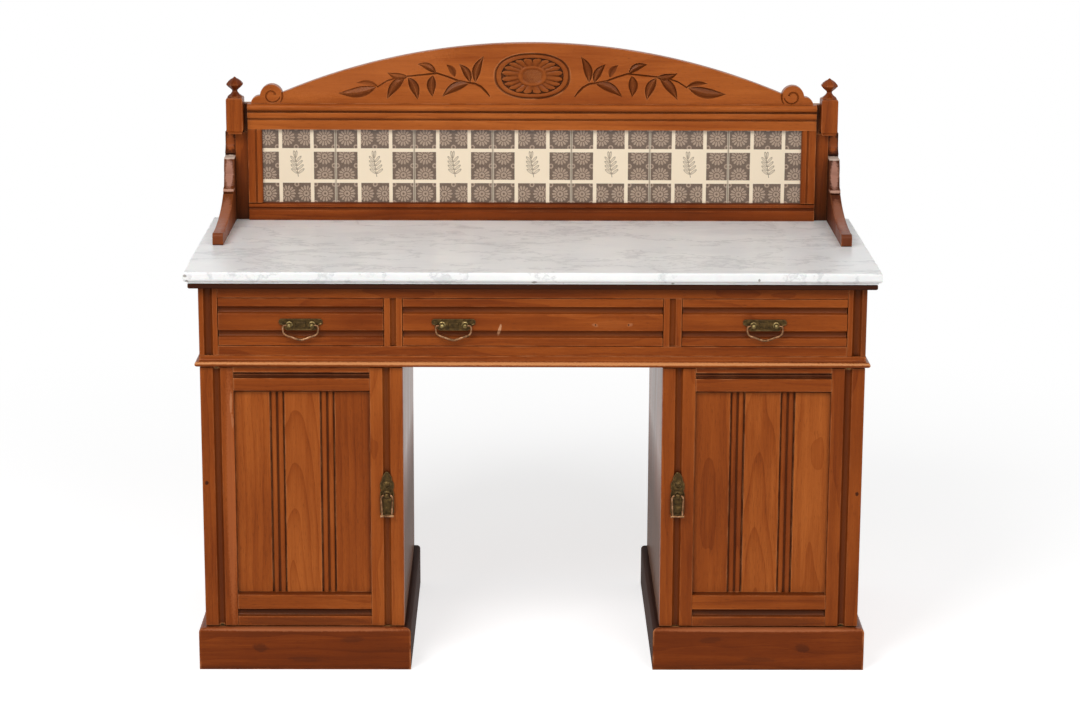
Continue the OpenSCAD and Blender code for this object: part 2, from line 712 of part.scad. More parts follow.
// Upstand
rebate_gap = 0.3;
module upstand_top_rail() at_front() color(walnut) {
    z0 = head_rail_z;
    z1 = arch_z;
    torus_r = 6.5;
    along_x(-frame_half, frame_half) difference() {
        polygon(concat([[back_y, z1], [back_y, z0], [frame_y, z0], [frame_y, z0 + 18], [frame_y + 2, z0 + 19]],
            arc(frame_y + 2, z0 + 26, 5, 270, 180, 5), [[frame_y - 3, z1 - 2 * torus_r - 4],
            [frame_y + 1, z1 - 2 * torus_r - 3], [frame_y + 1, z1 - 2 * torus_r - 1]],
            arc(frame_y, z1 - torus_r - 0.5, torus_r, 270, 90, 14), [[frame_y + 1, z1]]));
        translate([tile_y, z0 - cut]) square([frame_t, tile_lap + cut + rebate_gap]);
    }
}
module upstand_bottom_rail() at_front() color(walnut) {
    z0 = top_z;
    z1 = top_z + foot_rail_h;
    along_x(-frame_half, frame_half) difference() {
        polygon([[frame_y, z0], [frame_y, z1 - 15], [frame_y + 3, z1 - 12], [frame_y + 3, z1 - 10],
            [frame_y, z1 - 8], [frame_y, z1 - 3], [frame_y + 4, z1], [back_y, z1], [back_y, z0]]);
        translate([tile_y, z1 - tile_lap - rebate_gap]) square([frame_t, tile_lap + cut + rebate_gap]);
    }
}
module upstand_stiles() at_front() color(walnut) both() {
    z = [top_z + foot_rail_h, head_rail_z];
    translate([0, 0, z[0]]) linear_extrude(z[1] - z[0]) difference() {
        polygon([[sight_half, frame_y + 3], [sight_half + 4, frame_y], [sight_half + 10, frame_y],
            [sight_half + 11, frame_y + 2], [sight_half + 13, frame_y + 2], [sight_half + 14, frame_y],
            [frame_half, frame_y], [frame_half, back_y], [sight_half, back_y]]);
        translate([sight_half - cut, tile_y]) square([tile_end_lap + cut + rebate_gap, frame_t]);
    }
}
module upstand_back() at_front() color(pine)
    board([wing_t - wing_x, wing_x - wing_t], [back_y, carcase_d], [top_z, arch_z]);

module tiles() at_front() color(glaze)
    for (i = [0:tile_count - 1])
        translate([-tile_row / 2 + i * (tile + tile_joint), tile_y, tile_z]) cube([tile, tile_t, tile]);

// Posts: a square head over a narrow lower part that the wing is fixed to
post_z = head_rail_z - 6.5;
post_top = post_z + post_head_h;
post_fwd = 22;
post_y = frame_y - post_fwd;
post_set_back = 8;
module upstand_posts() at_front() color(walnut) both() {
    x0 = post_half - post / 2;
    y = [frame_y + post_set_back, back_y];
    board([x0, x0 + post], [post_y, back_y], [post_z, post_top]);
    board([frame_half, wing_x - wing_t], y, [top_z, post_z]);
    board([frame_half, x0], y, [post_z, arch_z]);
}
// Eight-sided finial: a flared collar and neck, measured up, and a pointed knob, measured down from the tip
collar = [[0, 0], [15, 0], [14.5, 2.5], [9.5, 6], [7, 10], [5, 11.5]];
knob = [[5, 26], [8, 24.5], [13.5, 20], [17, 15], [16, 12], [9, 5.5], [2.5, 1.5], [0, 0]];
module finials() at_front() color(walnut) both()
    translate([post_half, (post_y + back_y) / 2, post_top]) rotate([0, 0, 22.5])
        rotate_extrude($fn = 8) polygon(concat(collar, [for (p = knob) [p[0], finial_h - p[1]]]));

// Wing outline: u runs forward from the back, v up from the marble.
// A square foot, an elliptical sweep, a rounded lobe with a flat ledge, then a hollow up to the post head.
wing_h = post_z - top_z;
lobe_u = 54;
lobe_v = 92;
lobe_r = 24;
ledge_r = 6;
ledge_up = 34;
neck_u = 14;
neck_r = 24;
neck_up = 62;
module wings() at_front() color(walnut) both() {
    sweep_u = wing_d - 4 - lobe_u;
    sweep_v = lobe_v - wing_foot_h;
    outline = concat([[0, 0], [wing_d - 2, 0], [wing_d, 2], [wing_d, wing_foot_h - 4]],
        [for (i = [0:16]) let (a = 90 * i / 16)
            [wing_d - 4 - sweep_u * sin(a), lobe_v - sweep_v * cos(a)]],
        arc(lobe_u - lobe_r, lobe_v + 6, lobe_r, 8, 52, 6),
        arc(lobe_u - lobe_r + 9, lobe_v + ledge_up - ledge_r, ledge_r, 10, 90, 4),
        [[neck_u + 8, lobe_v + ledge_up], [neck_u + 8, lobe_v + ledge_up + 4]],
        arc(neck_u + neck_r, lobe_v + neck_up, neck_r, 245, 180, 6),
        [[neck_u, wing_h], [0, wing_h]]);
    translate([0, carcase_d, top_z]) mirror([0, 1, 0]) along_x(wing_x - wing_t, wing_x) polygon(outline);
}

// Pediment: a long arch between two scrolled ears, with a carved oval and two leaf sprays sunk in its face.
// Places on its face are [distance from the middle, height above the rail].
pediment_y = frame_y + 2;
pediment_half = frame_half - 7;
ear_step_r = 11;
ear = [pediment_half - ear_step_r - 7 - ear_r, 15.5];
arch_half = ear[0] - ear_r - 5;
arch_r = (pow(arch_half, 2) + pow(arch_h - arch_end_h, 2)) / (2 * (arch_h - arch_end_h));
groove_w = 4.5;
carve_depth = 2.5;
// Outline of a slightly squared oval with half length a and half height b
oval_power = 0.88;
function squared(v) = sign(v) * pow(abs(v), oval_power);
function oval(a, b) = [for (i = [0:47]) let (t = 360 * i / 48)
    [a * squared(cos(t)), oval_up + b * squared(sin(t))]];
// Outline of a leaf from point p to point q, as wide as w in the middle
leaf_steps = 5;
function leaf(p, q, w) =
    let (along = q - p, across = square_to(unit(along)) * w / 2,
         side = [for (i = [0:leaf_steps]) let (t = i / leaf_steps) [t, 1 - pow(2 * t - 1, 2)]])
    concat([for (s = side) p + along * s[0] + across * s[1]],
        [for (i = [leaf_steps - 1:-1:1]) p + along * side[i][0] - across * side[i][1]]);
leaves = [
    [[375, 21], [302, 33], 15], [[340, 40], [298, 33], 8], [[280, 61], [240, 54], 10],
    [[246, 53], [281, 10], 13], [[240, 52], [222, 9], 13], [[222, 78], [186, 60], 10],
    [[192, 56], [193, 15], 13], [[166, 76], [150, 53], 9], [[141, 77], [120, 43], 11],
    [[94, 93], [110, 43], 12], [[122, 41], [174, 15], 13], [[110, 38], [83, 17], 8]];
// Flower in the oval: a sunk ground with a boss and a ring of petals left standing
sunk = [oval_a - 14, oval_b - 10.5];
boss = [25, 18];
petal_count = 20;
petal_gap = 1.5;
petal_w = 7;
module pediment() at_front() color(walnut) translate([0, 0, arch_z]) difference() {
    along_y(pediment_y, pediment_y + pediment_t) {
        intersection() {
            translate([0, arch_h - arch_r]) circle(r = arch_r, $fn = 180);
            translate([-arch_half, 0]) square([2 * arch_half, arch_h + cut]);
        }
        translate([-ear[0], 0]) square([2 * ear[0], ear[1] - 6]);
        for (s = [-1, 1]) translate([s * ear[0], ear[1]]) circle(r = ear_r);
        for (s = [-1, 1]) translate([s * (pediment_half - ear_step_r), 0]) circle(r = ear_step_r);
    }
    board([-half_w, half_w], [0, carcase_d], [-far, 0]);
    face(carve_depth) {
        difference() {
            polygon(oval(oval_a, oval_b));
            polygon(oval(oval_a - groove_w, oval_b - groove_w));
        }
        for (s = [-1, 1]) translate([s * ear[0], ear[1]]) difference() {
            circle(r = ear_r * 0.55);
            circle(r = ear_r * 0.38);
        }
        both() for (l = leaves) polygon(leaf(l[0], l[1], l[2]));
    }
    face(carve_depth) difference() {
        polygon(oval(sunk[0], sunk[1]));
        polygon(oval(boss[0], boss[1]));
        for (i = [0:petal_count - 1]) {
            t = 360 * i / petal_count;
            foot = [(boss[0] + petal_gap) * cos(t), oval_up + (boss[1] + petal_gap) * sin(t)];
            tip = [(sunk[0] - petal_gap) * cos(t), oval_up + (sunk[1] - petal_gap) * sin(t)];
            polygon(leaf(foot, tip, petal_w));
        }
    }
}
// A shape sunk into the pediment's face
module face(depth) { along_y(pediment_y - cut, pediment_y + depth) children(); }

marble_top();
sub_top();
frieze_ends();
frieze_stiles();
frieze_dividers();
drawer_partitions();
frieze_top_rail();
frieze_bottom_rail();
frieze_back();
waist_board();
waist_moulding();
drawer_runners();
drawer_kickers();
drawer_stops();
left_outer_side();
left_inner_side();
right_inner_side();
right_outer_side();
left_plinth();
right_plinth();
plinth_blocks();
pedestal_bottoms();
pedestal_tops();
pedestal_backs();
pedestal_shelves();
shelf_battens();
pivot_sockets();
door_catches();
upstand_top_rail();
upstand_bottom_rail();
upstand_stiles();
upstand_back();
tiles();
upstand_posts();
finials();
wings();
pediment();
left_door_frame();
left_door_panel();
left_door_pivots();
left_pull_plate();
left_pull_drop();
right_door_frame();
right_door_panel();
right_door_pivots();
right_pull_plate();
right_pull_drop();
left_drawer_front();
left_drawer_box();
left_handle_plate();
left_handle_bail();
centre_drawer_front();
centre_drawer_box();
centre_handle_plate();
centre_handle_bail();
right_drawer_front();
right_drawer_box();
right_handle_plate();
right_handle_bail();
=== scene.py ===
import math
import random

import bmesh
import bpy
from mathutils import Matrix, Vector


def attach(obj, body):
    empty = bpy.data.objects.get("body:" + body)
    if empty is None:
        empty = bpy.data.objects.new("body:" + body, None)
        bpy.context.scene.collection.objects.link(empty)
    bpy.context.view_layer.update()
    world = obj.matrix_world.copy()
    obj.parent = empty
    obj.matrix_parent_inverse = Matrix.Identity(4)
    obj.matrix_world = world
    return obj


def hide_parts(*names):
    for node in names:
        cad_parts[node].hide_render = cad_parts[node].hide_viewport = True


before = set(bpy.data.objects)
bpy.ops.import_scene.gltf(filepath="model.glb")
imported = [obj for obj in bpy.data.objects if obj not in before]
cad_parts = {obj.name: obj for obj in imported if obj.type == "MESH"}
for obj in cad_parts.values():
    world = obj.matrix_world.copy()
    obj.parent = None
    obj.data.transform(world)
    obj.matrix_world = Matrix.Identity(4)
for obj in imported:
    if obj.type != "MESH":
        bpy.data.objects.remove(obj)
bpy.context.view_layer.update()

# Pedestal sides
# Four upright boards of satin walnut, 18 mm thick, french polished long ago and rubbed pale along the edges,
# where the pale colour is also a painted highlight.
# They are glued and blocked to the plinths below and housed in the waist board above.
# All sizes here are millimetres: x from the middle, y back from the faces of the doors, z up from the floor.
door_face = -243
half_width = 601
depth = 510
pedestal_inner = 235
side_thick = 18
case_front = 23.5
plinth_top = 79
waist_under = 573
sides = (("left", -1), ("right", 1))


def rgb(red, green, blue):
    """A colour given in steps of 0 to 255, as the linear values that a shader takes."""
    shares = (red / 255, green / 255, blue / 255)
    return tuple(((c + 0.055) / 1.055) ** 2.4 if c > 0.04 else c / 12.92 for c in shares) + (1,)


def node(tree, kind, sockets=None, **settings):
    """Adds a shader node and fills its sockets with values, or with links from other nodes."""
    made = tree.nodes.new("ShaderNode" + kind)
    for key, value in settings.items():
        setattr(made, key, value)
    for key, value in (sockets or {}).items():
        if isinstance(value, bpy.types.NodeSocket):
            tree.links.new(value, made.inputs[key])
        else:
            made.inputs[key].default_value = value
    return made


def calc(tree, operation, *values):
    """The output of a Math node on up to three values or sockets."""
    return node(tree, "Math", dict(enumerate(values)), operation=operation).outputs[0]


def length(tree, vector):
    """How long a vector is."""
    return node(tree, "VectorMath", {0: vector}, operation="LENGTH").outputs["Value"]


def between(tree, value, start, end, least=0.0, most=1.0):
    """A share that goes from least to most as a value goes from its start to its end."""
    sockets = {"Value": value, "From Min": start, "From Max": end, "To Min": least, "To Max": most}
    return node(tree, "MapRange", sockets).outputs[0]


def blended(tree, share, first, second):
    """A colour between two colours or sockets, by a share from 0 to 1."""
    mix = node(tree, "Mix", {0: share, 6: first, 7: second}, data_type="RGBA")
    return mix.outputs[2]


def in_metres(tree):
    """Where a point of the piece lies, in metres in the shared frame."""
    return node(tree, "TexCoord").outputs["Object"]


def laid(tree, where, move=(0, 0, 0), turn=(0, 0, 0), stretch=(1, 1, 1), kind="POINT"):
    """Coordinates that are moved, turned and stretched."""
    sockets = {"Vector": where, "Location": move, "Rotation": turn, "Scale": stretch}
    return node(tree, "Mapping", sockets, vector_type=kind).outputs[0]


def noise(tree, where, scale, detail=2.0, stretch=(1, 1, 1), rough=0.5):
    """Soft noise from 0 to 1, drawn out where stretch is small."""
    drawn_out = laid(tree, where, stretch=stretch)
    sockets = {"Vector": drawn_out, "Scale": scale, "Detail": detail, "Roughness": rough}
    return node(tree, "TexNoise", sockets).outputs[0]


def wavered(tree, where, read_at, amount, scale, detail, rough=0.5):
    """Coordinates pushed about by noise that is read at other coordinates, so that straight lines go wavy."""
    sockets = {"Vector": read_at, "Scale": scale, "Detail": detail, "Roughness": rough}
    push = node(tree, "TexNoise", sockets).outputs["Color"]
    return node(tree, "VectorMath", {0: push, 1: amount, 2: where}, operation="MULTIPLY_ADD").outputs[0]


def varied(tree, tone, pattern, amount):
    """A tone made lighter and darker by a pattern that goes from 0 to 1."""
    return calc(tree, "MULTIPLY_ADD", calc(tree, "SUBTRACT", pattern, 0.5), amount, tone)


def ramp(tree, value, stops):
    """Colours laid along a value, as (place, colour) stops."""
    made = node(tree, "ValToRGB", {0: value})
    band = made.color_ramp
    band.elements[0].position, band.elements[0].color = stops[0]
    band.elements[1].position, band.elements[1].color = stops[-1]
    for place, colour in stops[1:-1]:
        band.elements.new(place).color = colour
    return made.outputs[0]


def sheltered(tree, reach, clear, deep, most=1.0, samples=3):
    """Up to most in corners and gaps, and 0 in the open: where dirt gathers and where shade falls. Reach is
    in metres.
    """
    sky = node(tree, "AmbientOcclusion", {"Distance": reach}, samples=samples).outputs["AO"]
    return between(tree, sky, clear, deep, 0.0, most)


def rubbing(tree, reach, clear, deep, most=1.0):
    """Up to most along edges, where the finish is rubbed away, and 0 on flat faces. Reach is in metres."""
    solid = node(tree, "AmbientOcclusion", {"Distance": reach}, samples=3, inside=True, only_local=True)
    return between(tree, solid.outputs["AO"], clear, deep, 0.0, most)


def relief(tree, height, strength, distance):
    """A fine relief of the surface, made from a pattern."""
    return node(tree, "Bump", {"Height": height, "Strength": strength, "Distance": distance}).outputs[0]


def started(name):
    """A new material with nothing in its tree yet, and the tree."""
    material = bpy.data.materials.new(name)
    material.use_nodes = True
    material.node_tree.nodes.clear()
    return material, material.node_tree


def finished(material, sockets):
    """Gives a material its shader, and gives the material back."""
    tree = material.node_tree
    shader = node(tree, "BsdfPrincipled", sockets)
    tree.links.new(shader.outputs[0], node(tree, "OutputMaterial").inputs[0])
    return material


grain_turns = {"X": (0, -math.pi / 2, 0), "Y": (math.pi / 2, 0, 0), "Z": (0, 0, 0)}


def along_grain(tree, grain, centre):
    """Coordinates in metres from the middle of a board, turned so that the grain runs along Z."""
    centred = laid(tree, in_metres(tree), tuple(-c for c in centre))
    return laid(tree, centred, turn=grain_turns[grain])


def year_rings(tree, heartwood, scale):
    """0 where each year's wood begins and 1 where it ends, in rings round the heart of the tree."""
    wave = node(tree, "TexWave", {"Vector": heartwood, "Scale": scale}, wave_type="RINGS", wave_profile="SAW",
                rings_direction="Z")
    return wave.outputs["Fac"]


any_depth = 1000000


def spot(tree, place, size, lean=0.0):
    """1 inside a small ragged oval at a place on the front, given as x and z in millimetres, and 0 round it.
    A third number in place and size keeps the oval to one depth."""
    here = in_metres(tree)
    middle = [v / 1000 for v in (place[0], place[2] + door_face if len(place) > 2 else 0, place[1])]
    half = [v / 1000 for v in (size[0], size[2] if len(size) > 2 else any_depth, size[1])]
    far = length(tree, laid(tree, here, middle, (0, math.radians(lean), 0), half, "TEXTURE"))
    ragged = calc(tree, "MULTIPLY_ADD", noise(tree, here, 300.0, 3.0), 0.8, calc(tree, "SUBTRACT", far, 0.4))
    return between(tree, ragged, 1.15, 0.75)


def marked(tree, colour, marks):
    """A colour with marks laid over it: stains and wear, and also painted highlights and painted shade. A
    mark is (place, size, lean, colour, share).
    """
    for place, size, lean, paint, share in marks:
        strength = calc(tree, "MULTIPLY", spot(tree, place, size, lean), share)
        colour = blended(tree, strength, colour, rgb(*paint))
    return colour


walnut_tones = [(0.0, rgb(84, 33, 9)), (0.3, rgb(117, 50, 14)), (0.55, rgb(147, 71, 24)),
                (0.8, rgb(174, 93, 38)), (1.0, rgb(196, 117, 57))]
pore_dark = rgb(58, 22, 8)
old_polish_and_shade = rgb(58, 20, 8)
corner_dirt_and_shade = rgb(36, 13, 5)
rubbed_wood_and_highlight = rgb(206, 132, 82)
dull_dirt = rgb(40, 24, 18)
warm_gloss = (1.0, 0.6, 0.34, 1)
cloudy = 0.62


def walnut(name, grain, centre, heart=None, lean=None, light=0.0, rings=0.13, polish=0.06, gloss=0.14,
           marks=(), dull=None):
    """Old polished satin walnut. The heart of the tree lies heart = (across, behind) metres from the board's
    middle and leans by some degrees, so that the year rings come out as arches or as straight streaks. The
    colour is painted dark where the attribute sunk says that the face is hollowed, for old polish and for the
    shade in hollows, and darker in corners, for dirt and painted shade. Edges are painted pale in patches,
    for rubbed wear and a painted highlight. Dull_and_shaded is (axis, from, to): the finish is sound at the
    first place along that axis, and at the second it is rougher and painted dark as shade."""
    luck = random.Random(name)
    if heart is None:
        heart = (luck.uniform(-0.12, 0.12), luck.uniform(0.05, 0.14))
    if lean is None:
        lean = luck.uniform(-1.5, 1.5)
    material, tree = started(name)
    board_at = along_grain(tree, grain, centre)
    lucky = laid(tree, board_at, [luck.uniform(-3, 3) for _ in range(3)])
    wavy = wavered(tree, board_at, laid(tree, lucky, stretch=(1, 1, 0.3)), (0.022, 0.022, 0), 14.0, 2.0)
    heartwood = laid(tree, wavy, (-heart[0], -heart[1], 0), (math.radians(lean), 0, 0))
    late = calc(tree, "POWER", year_rings(tree, heartwood, 27.0), 4.0)
    streaks = noise(tree, lucky, 75.0, 3.0, (1, 1, 0.05), 0.6)
    fibres = noise(tree, lucky, 750.0, 2.0, (1, 1, 0.022), 0.6)
    clouds = noise(tree, lucky, 7.0, 3.0, (1, 1, 0.45))
    pores = calc(tree, "GREATER_THAN", noise(tree, lucky, 1500.0, 0.0, (1, 1, 0.05)), 0.7)
    tone = calc(tree, "MULTIPLY_ADD", clouds, cloudy, 0.5 - cloudy / 2 + light)
    tone = varied(tree, varied(tree, tone, streaks, 0.42), fibres, 0.24)
    tone = calc(tree, "MULTIPLY_ADD", late, -rings, calc(tree, "ADD", tone, rings / 4))
    colour = ramp(tree, tone, walnut_tones)
    colour = blended(tree, calc(tree, "MULTIPLY", pores, 0.28), colour, pore_dark)
    # Hollows are painted dark by depth, for old polish and for the shade in them.
    sunk = node(tree, "Attribute", attribute_name="sunk").outputs["Fac"]
    darkened = calc(tree, "MULTIPLY", sunk, calc(tree, "MULTIPLY_ADD", clouds, 0.3, 0.5))
    colour = blended(tree, darkened, colour, old_polish_and_shade)
    # Darker in corners and gaps: dirt, and painted shade.
    colour = blended(tree, sheltered(tree, 0.018, 0.82, 0.25, 0.82, samples=5), colour, corner_dirt_and_shade)
    # Edges are painted pale in patches: rubbed wear, and a painted highlight along the arrises.
    patchy = between(tree, noise(tree, lucky, 28.0, 4.0), 0.4, 0.62)
    pale_edges = calc(tree, "MULTIPLY", rubbing(tree, 0.0026, 0.9, 0.35, 0.8), patchy)
    colour = blended(tree, pale_edges, colour, rubbed_wood_and_highlight)
    rough = between(tree, streaks, 0.3, 0.7, 0.3, 0.46)
    # Painted shade: darker and rougher along one axis, towards the floor or towards the back.
    if dull:
        axis, sound, darkest = dull
        back = door_face if axis == "Y" else 0
        along = node(tree, "SeparateXYZ", {0: in_metres(tree)}).outputs[axis]
        painted_light = between(tree, along, (sound + back) / 1000, (darkest + back) / 1000)
        colour = blended(tree, calc(tree, "MULTIPLY", painted_light, 0.72), colour, dull_dirt)
        rough = calc(tree, "MULTIPLY_ADD", painted_light, 0.55, rough)
    colour = marked(tree, colour, marks)
    height = calc(tree, "MULTIPLY_ADD", fibres, 0.7, calc(tree, "MULTIPLY", pores, -1.0))
    grain_relief = relief(tree, height, 0.25, 0.0002)
    return finished(material, {"Base Color": colour, "Roughness": rough, "Normal": grain_relief,
                               "Specular IOR Level": gloss, "Specular Tint": warm_gloss,
                               "Coat Weight": polish, "Coat Roughness": 0.16})


def darken_hollows(bm, level, reach, least=0.0):
    """Marks how far the front faces of a bmesh lie behind a level, where old polish and dirt gather and where
    shade falls; materials paint these hollows dark.
    """
    bm.normal_update()
    sunk = bm.loops.layers.float.get("sunk") or bm.loops.layers.float.new("sunk")
    for face in bm.faces:
        if face.normal.y < -0.1 and face.calc_center_median().y > level + reach * 0.02:
            for corner in face.loops:
                corner[sunk] = min(1, max(0, least + (1 - least) * (corner.vert.co.y - level) / reach))


def to_metres(bm):
    """Moves a bmesh from millimetres behind the doors' faces to metres in the shared frame."""
    bmesh.ops.translate(bm, vec=(0, door_face, 0), verts=bm.verts)
    bmesh.ops.scale(bm, vec=(0.001, 0.001, 0.001), verts=bm.verts)


def keep_flat(piece):
    """Keeps the flat faces beside eased edges flat to the eye."""
    flat = piece.modifiers.new("Flat faces", "WEIGHTED_NORMAL")
    flat.keep_sharp = True


eased_from = 38
sharp_from = 50


def make(name, bm, body, material, stands_for, ease=0.8, side=1, hollows=None):
    """Turns a bmesh in millimetres into a finished piece that stands for a CAD node. A left piece is the
    right one mirrored. Sharp edges are eased as with sandpaper, and hollows holds what darken_hollows needs."""
    if side < 0:
        bmesh.ops.scale(bm, vec=(-1, 1, 1), verts=bm.verts)
    bmesh.ops.remove_doubles(bm, verts=bm.verts, dist=0.001)
    bmesh.ops.recalc_face_normals(bm, faces=bm.faces)
    if ease:
        sharp = [e for e in bm.edges if e.is_manifold and e.calc_face_angle(0) > math.radians(eased_from)]
        bmesh.ops.bevel(bm, geom=sharp, offset=ease, offset_type="OFFSET", affect="EDGES", segments=2,
                        profile=0.5, material=-1, clamp_overlap=True)
    if hollows:
        darken_hollows(bm, *hollows)
    to_metres(bm)
    mesh = bpy.data.meshes.new(name)
    bm.to_mesh(mesh)
    bm.free()
    mesh.shade_smooth()
    mesh.set_sharp_from_angle(angle=math.radians(sharp_from))
    piece = bpy.data.objects.new(name, mesh)
    bpy.context.scene.collection.objects.link(piece)
    keep_flat(piece)
    if callable(material):
        corners = [Vector(c) for c in piece.bound_box]
        material = material(sum(corners, Vector()) / 8)
    mesh.materials.append(material)
    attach(piece, body)
    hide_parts(stands_for)
    return piece


def box(x, y, z):
    """A bmesh of a straight board between two places each way."""
    bm = bmesh.new()
    bmesh.ops.create_cube(bm, size=1)
    bmesh.ops.scale(bm, vec=(x[1] - x[0], y[1] - y[0], z[1] - z[0]), verts=bm.verts)
    bmesh.ops.translate(bm, vec=((x[0] + x[1]) / 2, (y[0] + y[1]) / 2, (z[0] + z[1]) / 2), verts=bm.verts)
    return bm


def in_walnut(name, bm, grain, stands_for, ease=0.8, side=1, hollows=None, body="carcase", board=None,
              **figure):
    """A finished piece of walnut. Its figure is worked out from its board's name and middle."""
    def figured(middle):
        """The walnut for a board with that middle."""
        return walnut((board or name) + "_walnut", grain, middle, **figure)

    return make(name, bm, body, figured, stands_for, ease, side, hollows)


def walnut_board(name, x, y, z, grain, stands_for, **more):
    """A straight board of walnut between two places each way."""
    return in_walnut(name, box(x, y, z), grain, stands_for, **more)


for word, side in sides:
    walnut_board(word + "_side_outer", (half_width - side_thick, half_width), (case_front, depth),
                 (plinth_top, waist_under), "Z", word + "_outer_side", side=side, heart=(0.3, 0.02), lean=2.0)
    # The inner sides face the kneehole and are painted darker towards the floor, as the shade there.
    walnut_board(word + "_side_inner", (pedestal_inner, pedestal_inner + side_thick), (case_front, depth),
                 (plinth_top, waist_under), "Z", word + "_inner_side", side=side, heart=(-0.25, 0.03),
                 lean=1.0, light=-0.12, polish=0.17, gloss=1.0, dull=("Z", 385, 240))

# Plinths
# Each pedestal stands on a frame of four boards. The front and the two ends are mitred together and their top
# edge is rounded over; the back board is square and butts between them.
plinth_out = 12
plinth_in = 4
plinth_round = 7
plinth_thick = plinth_out + plinth_in
pedestal_middle = (pedestal_inner + half_width) / 2
mitre_spare = 20
glue_line = 0.1


def arc(middle, radius, start, end, steps):
    """Points of an arc round a middle, from one angle to another in degrees."""
    turns = [math.radians(start + (end - start) * i / steps) for i in range(steps + 1)]
    return [(middle[0] + radius * math.cos(a), middle[1] + radius * math.sin(a)) for a in turns]


def run(outline, axis, start, end):
    """A bmesh of an outline run along an axis. The outline gives the other two axes, in the order x, y, z."""
    along = "XYZ".index(axis)
    bm = bmesh.new()
    corners = []
    for point in outline:
        place = list(point)
        place.insert(along, start)
        corners.append(bm.verts.new(place))
    moved = bmesh.ops.extrude_face_region(bm, geom=[bm.faces.new(corners)])["geom"]
    way = Vector((0, 0, 0))
    way[along] = end - start
    bmesh.ops.translate(bm, vec=way, verts=[v for v in moved if isinstance(v, bmesh.types.BMVert)])
    return bm


def mitre(bm, point, normal):
    """Cuts a bmesh off at a plane, on the side that the normal points to, and closes the cut."""
    whole = bm.verts[:] + bm.edges[:] + bm.faces[:]
    cut = bmesh.ops.bisect_plane(bm, geom=whole, dist=0.0001, plane_co=point, plane_no=normal,
                                 clear_outer=True)
    rim = [e for e in cut["geom_cut"] if isinstance(e, bmesh.types.BMEdge)]
    bmesh.ops.contextual_create(bm, geom=rim)
    return bm


def front_moulding(section, left, right):
    """A moulding along the front, mitred at both ends. Its section is (how far out, how high)."""
    bm = run([(-out, z) for out, z in section], "X", left - mitre_spare, right + mitre_spare)
    mitre(bm, (right, 0, 0), (1, 1, 0))
    return mitre(bm, (left, 0, 0), (-1, 1, 0))


def end_moulding(section, corner, outwards):
    """A moulding that runs back from its mitre at a front corner. Outwards is 1 to the right and -1 to the
    left."""
    bm = run([(corner + outwards * out, z) for out, z in section], "Y", -mitre_spare, depth)
    return mitre(bm, (corner, 0, 0), (-outwards, -1, 0))


plinth_section = ([(-plinth_in, 0), (plinth_out, 0)]
                  + arc((plinth_out - plinth_round, plinth_top - plinth_round), plinth_round, 0, 90, 6)
                  + [(-plinth_in, plinth_top)])
for word, side in sides:
    plinth = word + "_plinth"
    kicks_and_highlight = [((side * 500, 42), (14, 8), 8, (60, 26, 14), 0.5),
             ((side * 330, 58), (22, 6), -4, (66, 30, 16), 0.4),
             ((side * 420, 20), (30, 5), 3, (70, 32, 18), 0.35),
             # A painted highlight along the rounded top edge.
             ((side * pedestal_middle, plinth_top - 2), (196, 3.5), 0, (190, 114, 72), 0.5)]
    in_walnut(plinth + "_front", front_moulding(plinth_section, pedestal_inner, half_width), "X", plinth, 0.5,
              side, light=-0.2, marks=kicks_and_highlight)
    in_walnut(plinth + "_outer_end", end_moulding(plinth_section, half_width, 1), "Y", plinth, 0.5, side,
              light=-0.2)
    # The inner ends face the kneehole and are painted much darker, and darker still towards the floor, as
    # shade.
    in_walnut(plinth + "_inner_end", end_moulding(plinth_section, pedestal_inner, -1), "Y", plinth, 0.5, side,
              light=-0.8, gloss=0.1, dull=("Z", 200, 90))
    back_x = (pedestal_inner + plinth_in + glue_line, half_width - plinth_in - glue_line)
    walnut_board(plinth + "_back", back_x, (depth - plinth_thick, depth), (0, plinth_top), "X", plinth,
                 side=side)

# Pine insides
# Bottoms, tops, backs, shelves, battens, blocks, partitions, runners, kickers and stops are of cheap sawn
# pine, left bare. They are glued and nailed, and have gone brown with age.
pine_tones = [(0.0, rgb(122, 66, 30)), (0.5, rgb(186, 122, 68)), (1.0, rgb(222, 172, 112))]
knot_dark = rgb(84, 44, 22)
pine_dust_and_shade = rgb(70, 46, 28)


def pine(name, grain, light=0.0):
    """Bare pine gone brown, with straight resinous lines and a few small knots."""
    material, tree = started(name)
    board_at = along_grain(tree, grain, (random.Random(name).uniform(-1, 1), 0.3, 0.2))
    wavy = wavered(tree, board_at, laid(tree, board_at, stretch=(1, 1, 0.3)), (0.09, 0.09, 0), 7.0, 3.0)
    late = calc(tree, "POWER", year_rings(tree, laid(tree, wavy, turn=(math.radians(3), 0, 0)), 21.0), 5.0)
    fibres = noise(tree, board_at, 500.0, 2.0, (1, 1, 0.03))
    clouds = noise(tree, board_at, 5.0, 3.0)
    cells = node(tree, "TexVoronoi", {"Vector": laid(tree, board_at, stretch=(1, 1, 0.6)), "Scale": 5.0})
    knots = between(tree, cells.outputs["Distance"], 0.06, 0.03)
    tone = calc(tree, "MULTIPLY_ADD", late, -0.3, 0.68 + light)
    colour = ramp(tree, varied(tree, varied(tree, tone, fibres, 0.35), clouds, 0.5), pine_tones)
    colour = blended(tree, knots, colour, knot_dark)
    # Darker in corners: dust, and painted shade.
    colour = blended(tree, sheltered(tree, 0.02, 0.7, 0.2, 0.5), colour, pine_dust_and_shade)
    sawn = relief(tree, fibres, 0.4, 0.0003)
    return finished(material, {"Base Color": colour, "Roughness": 0.72, "Normal": sawn,
                               "Specular IOR Level": 0.25, "Specular Tint": (1.0, 0.75, 0.5, 1)})


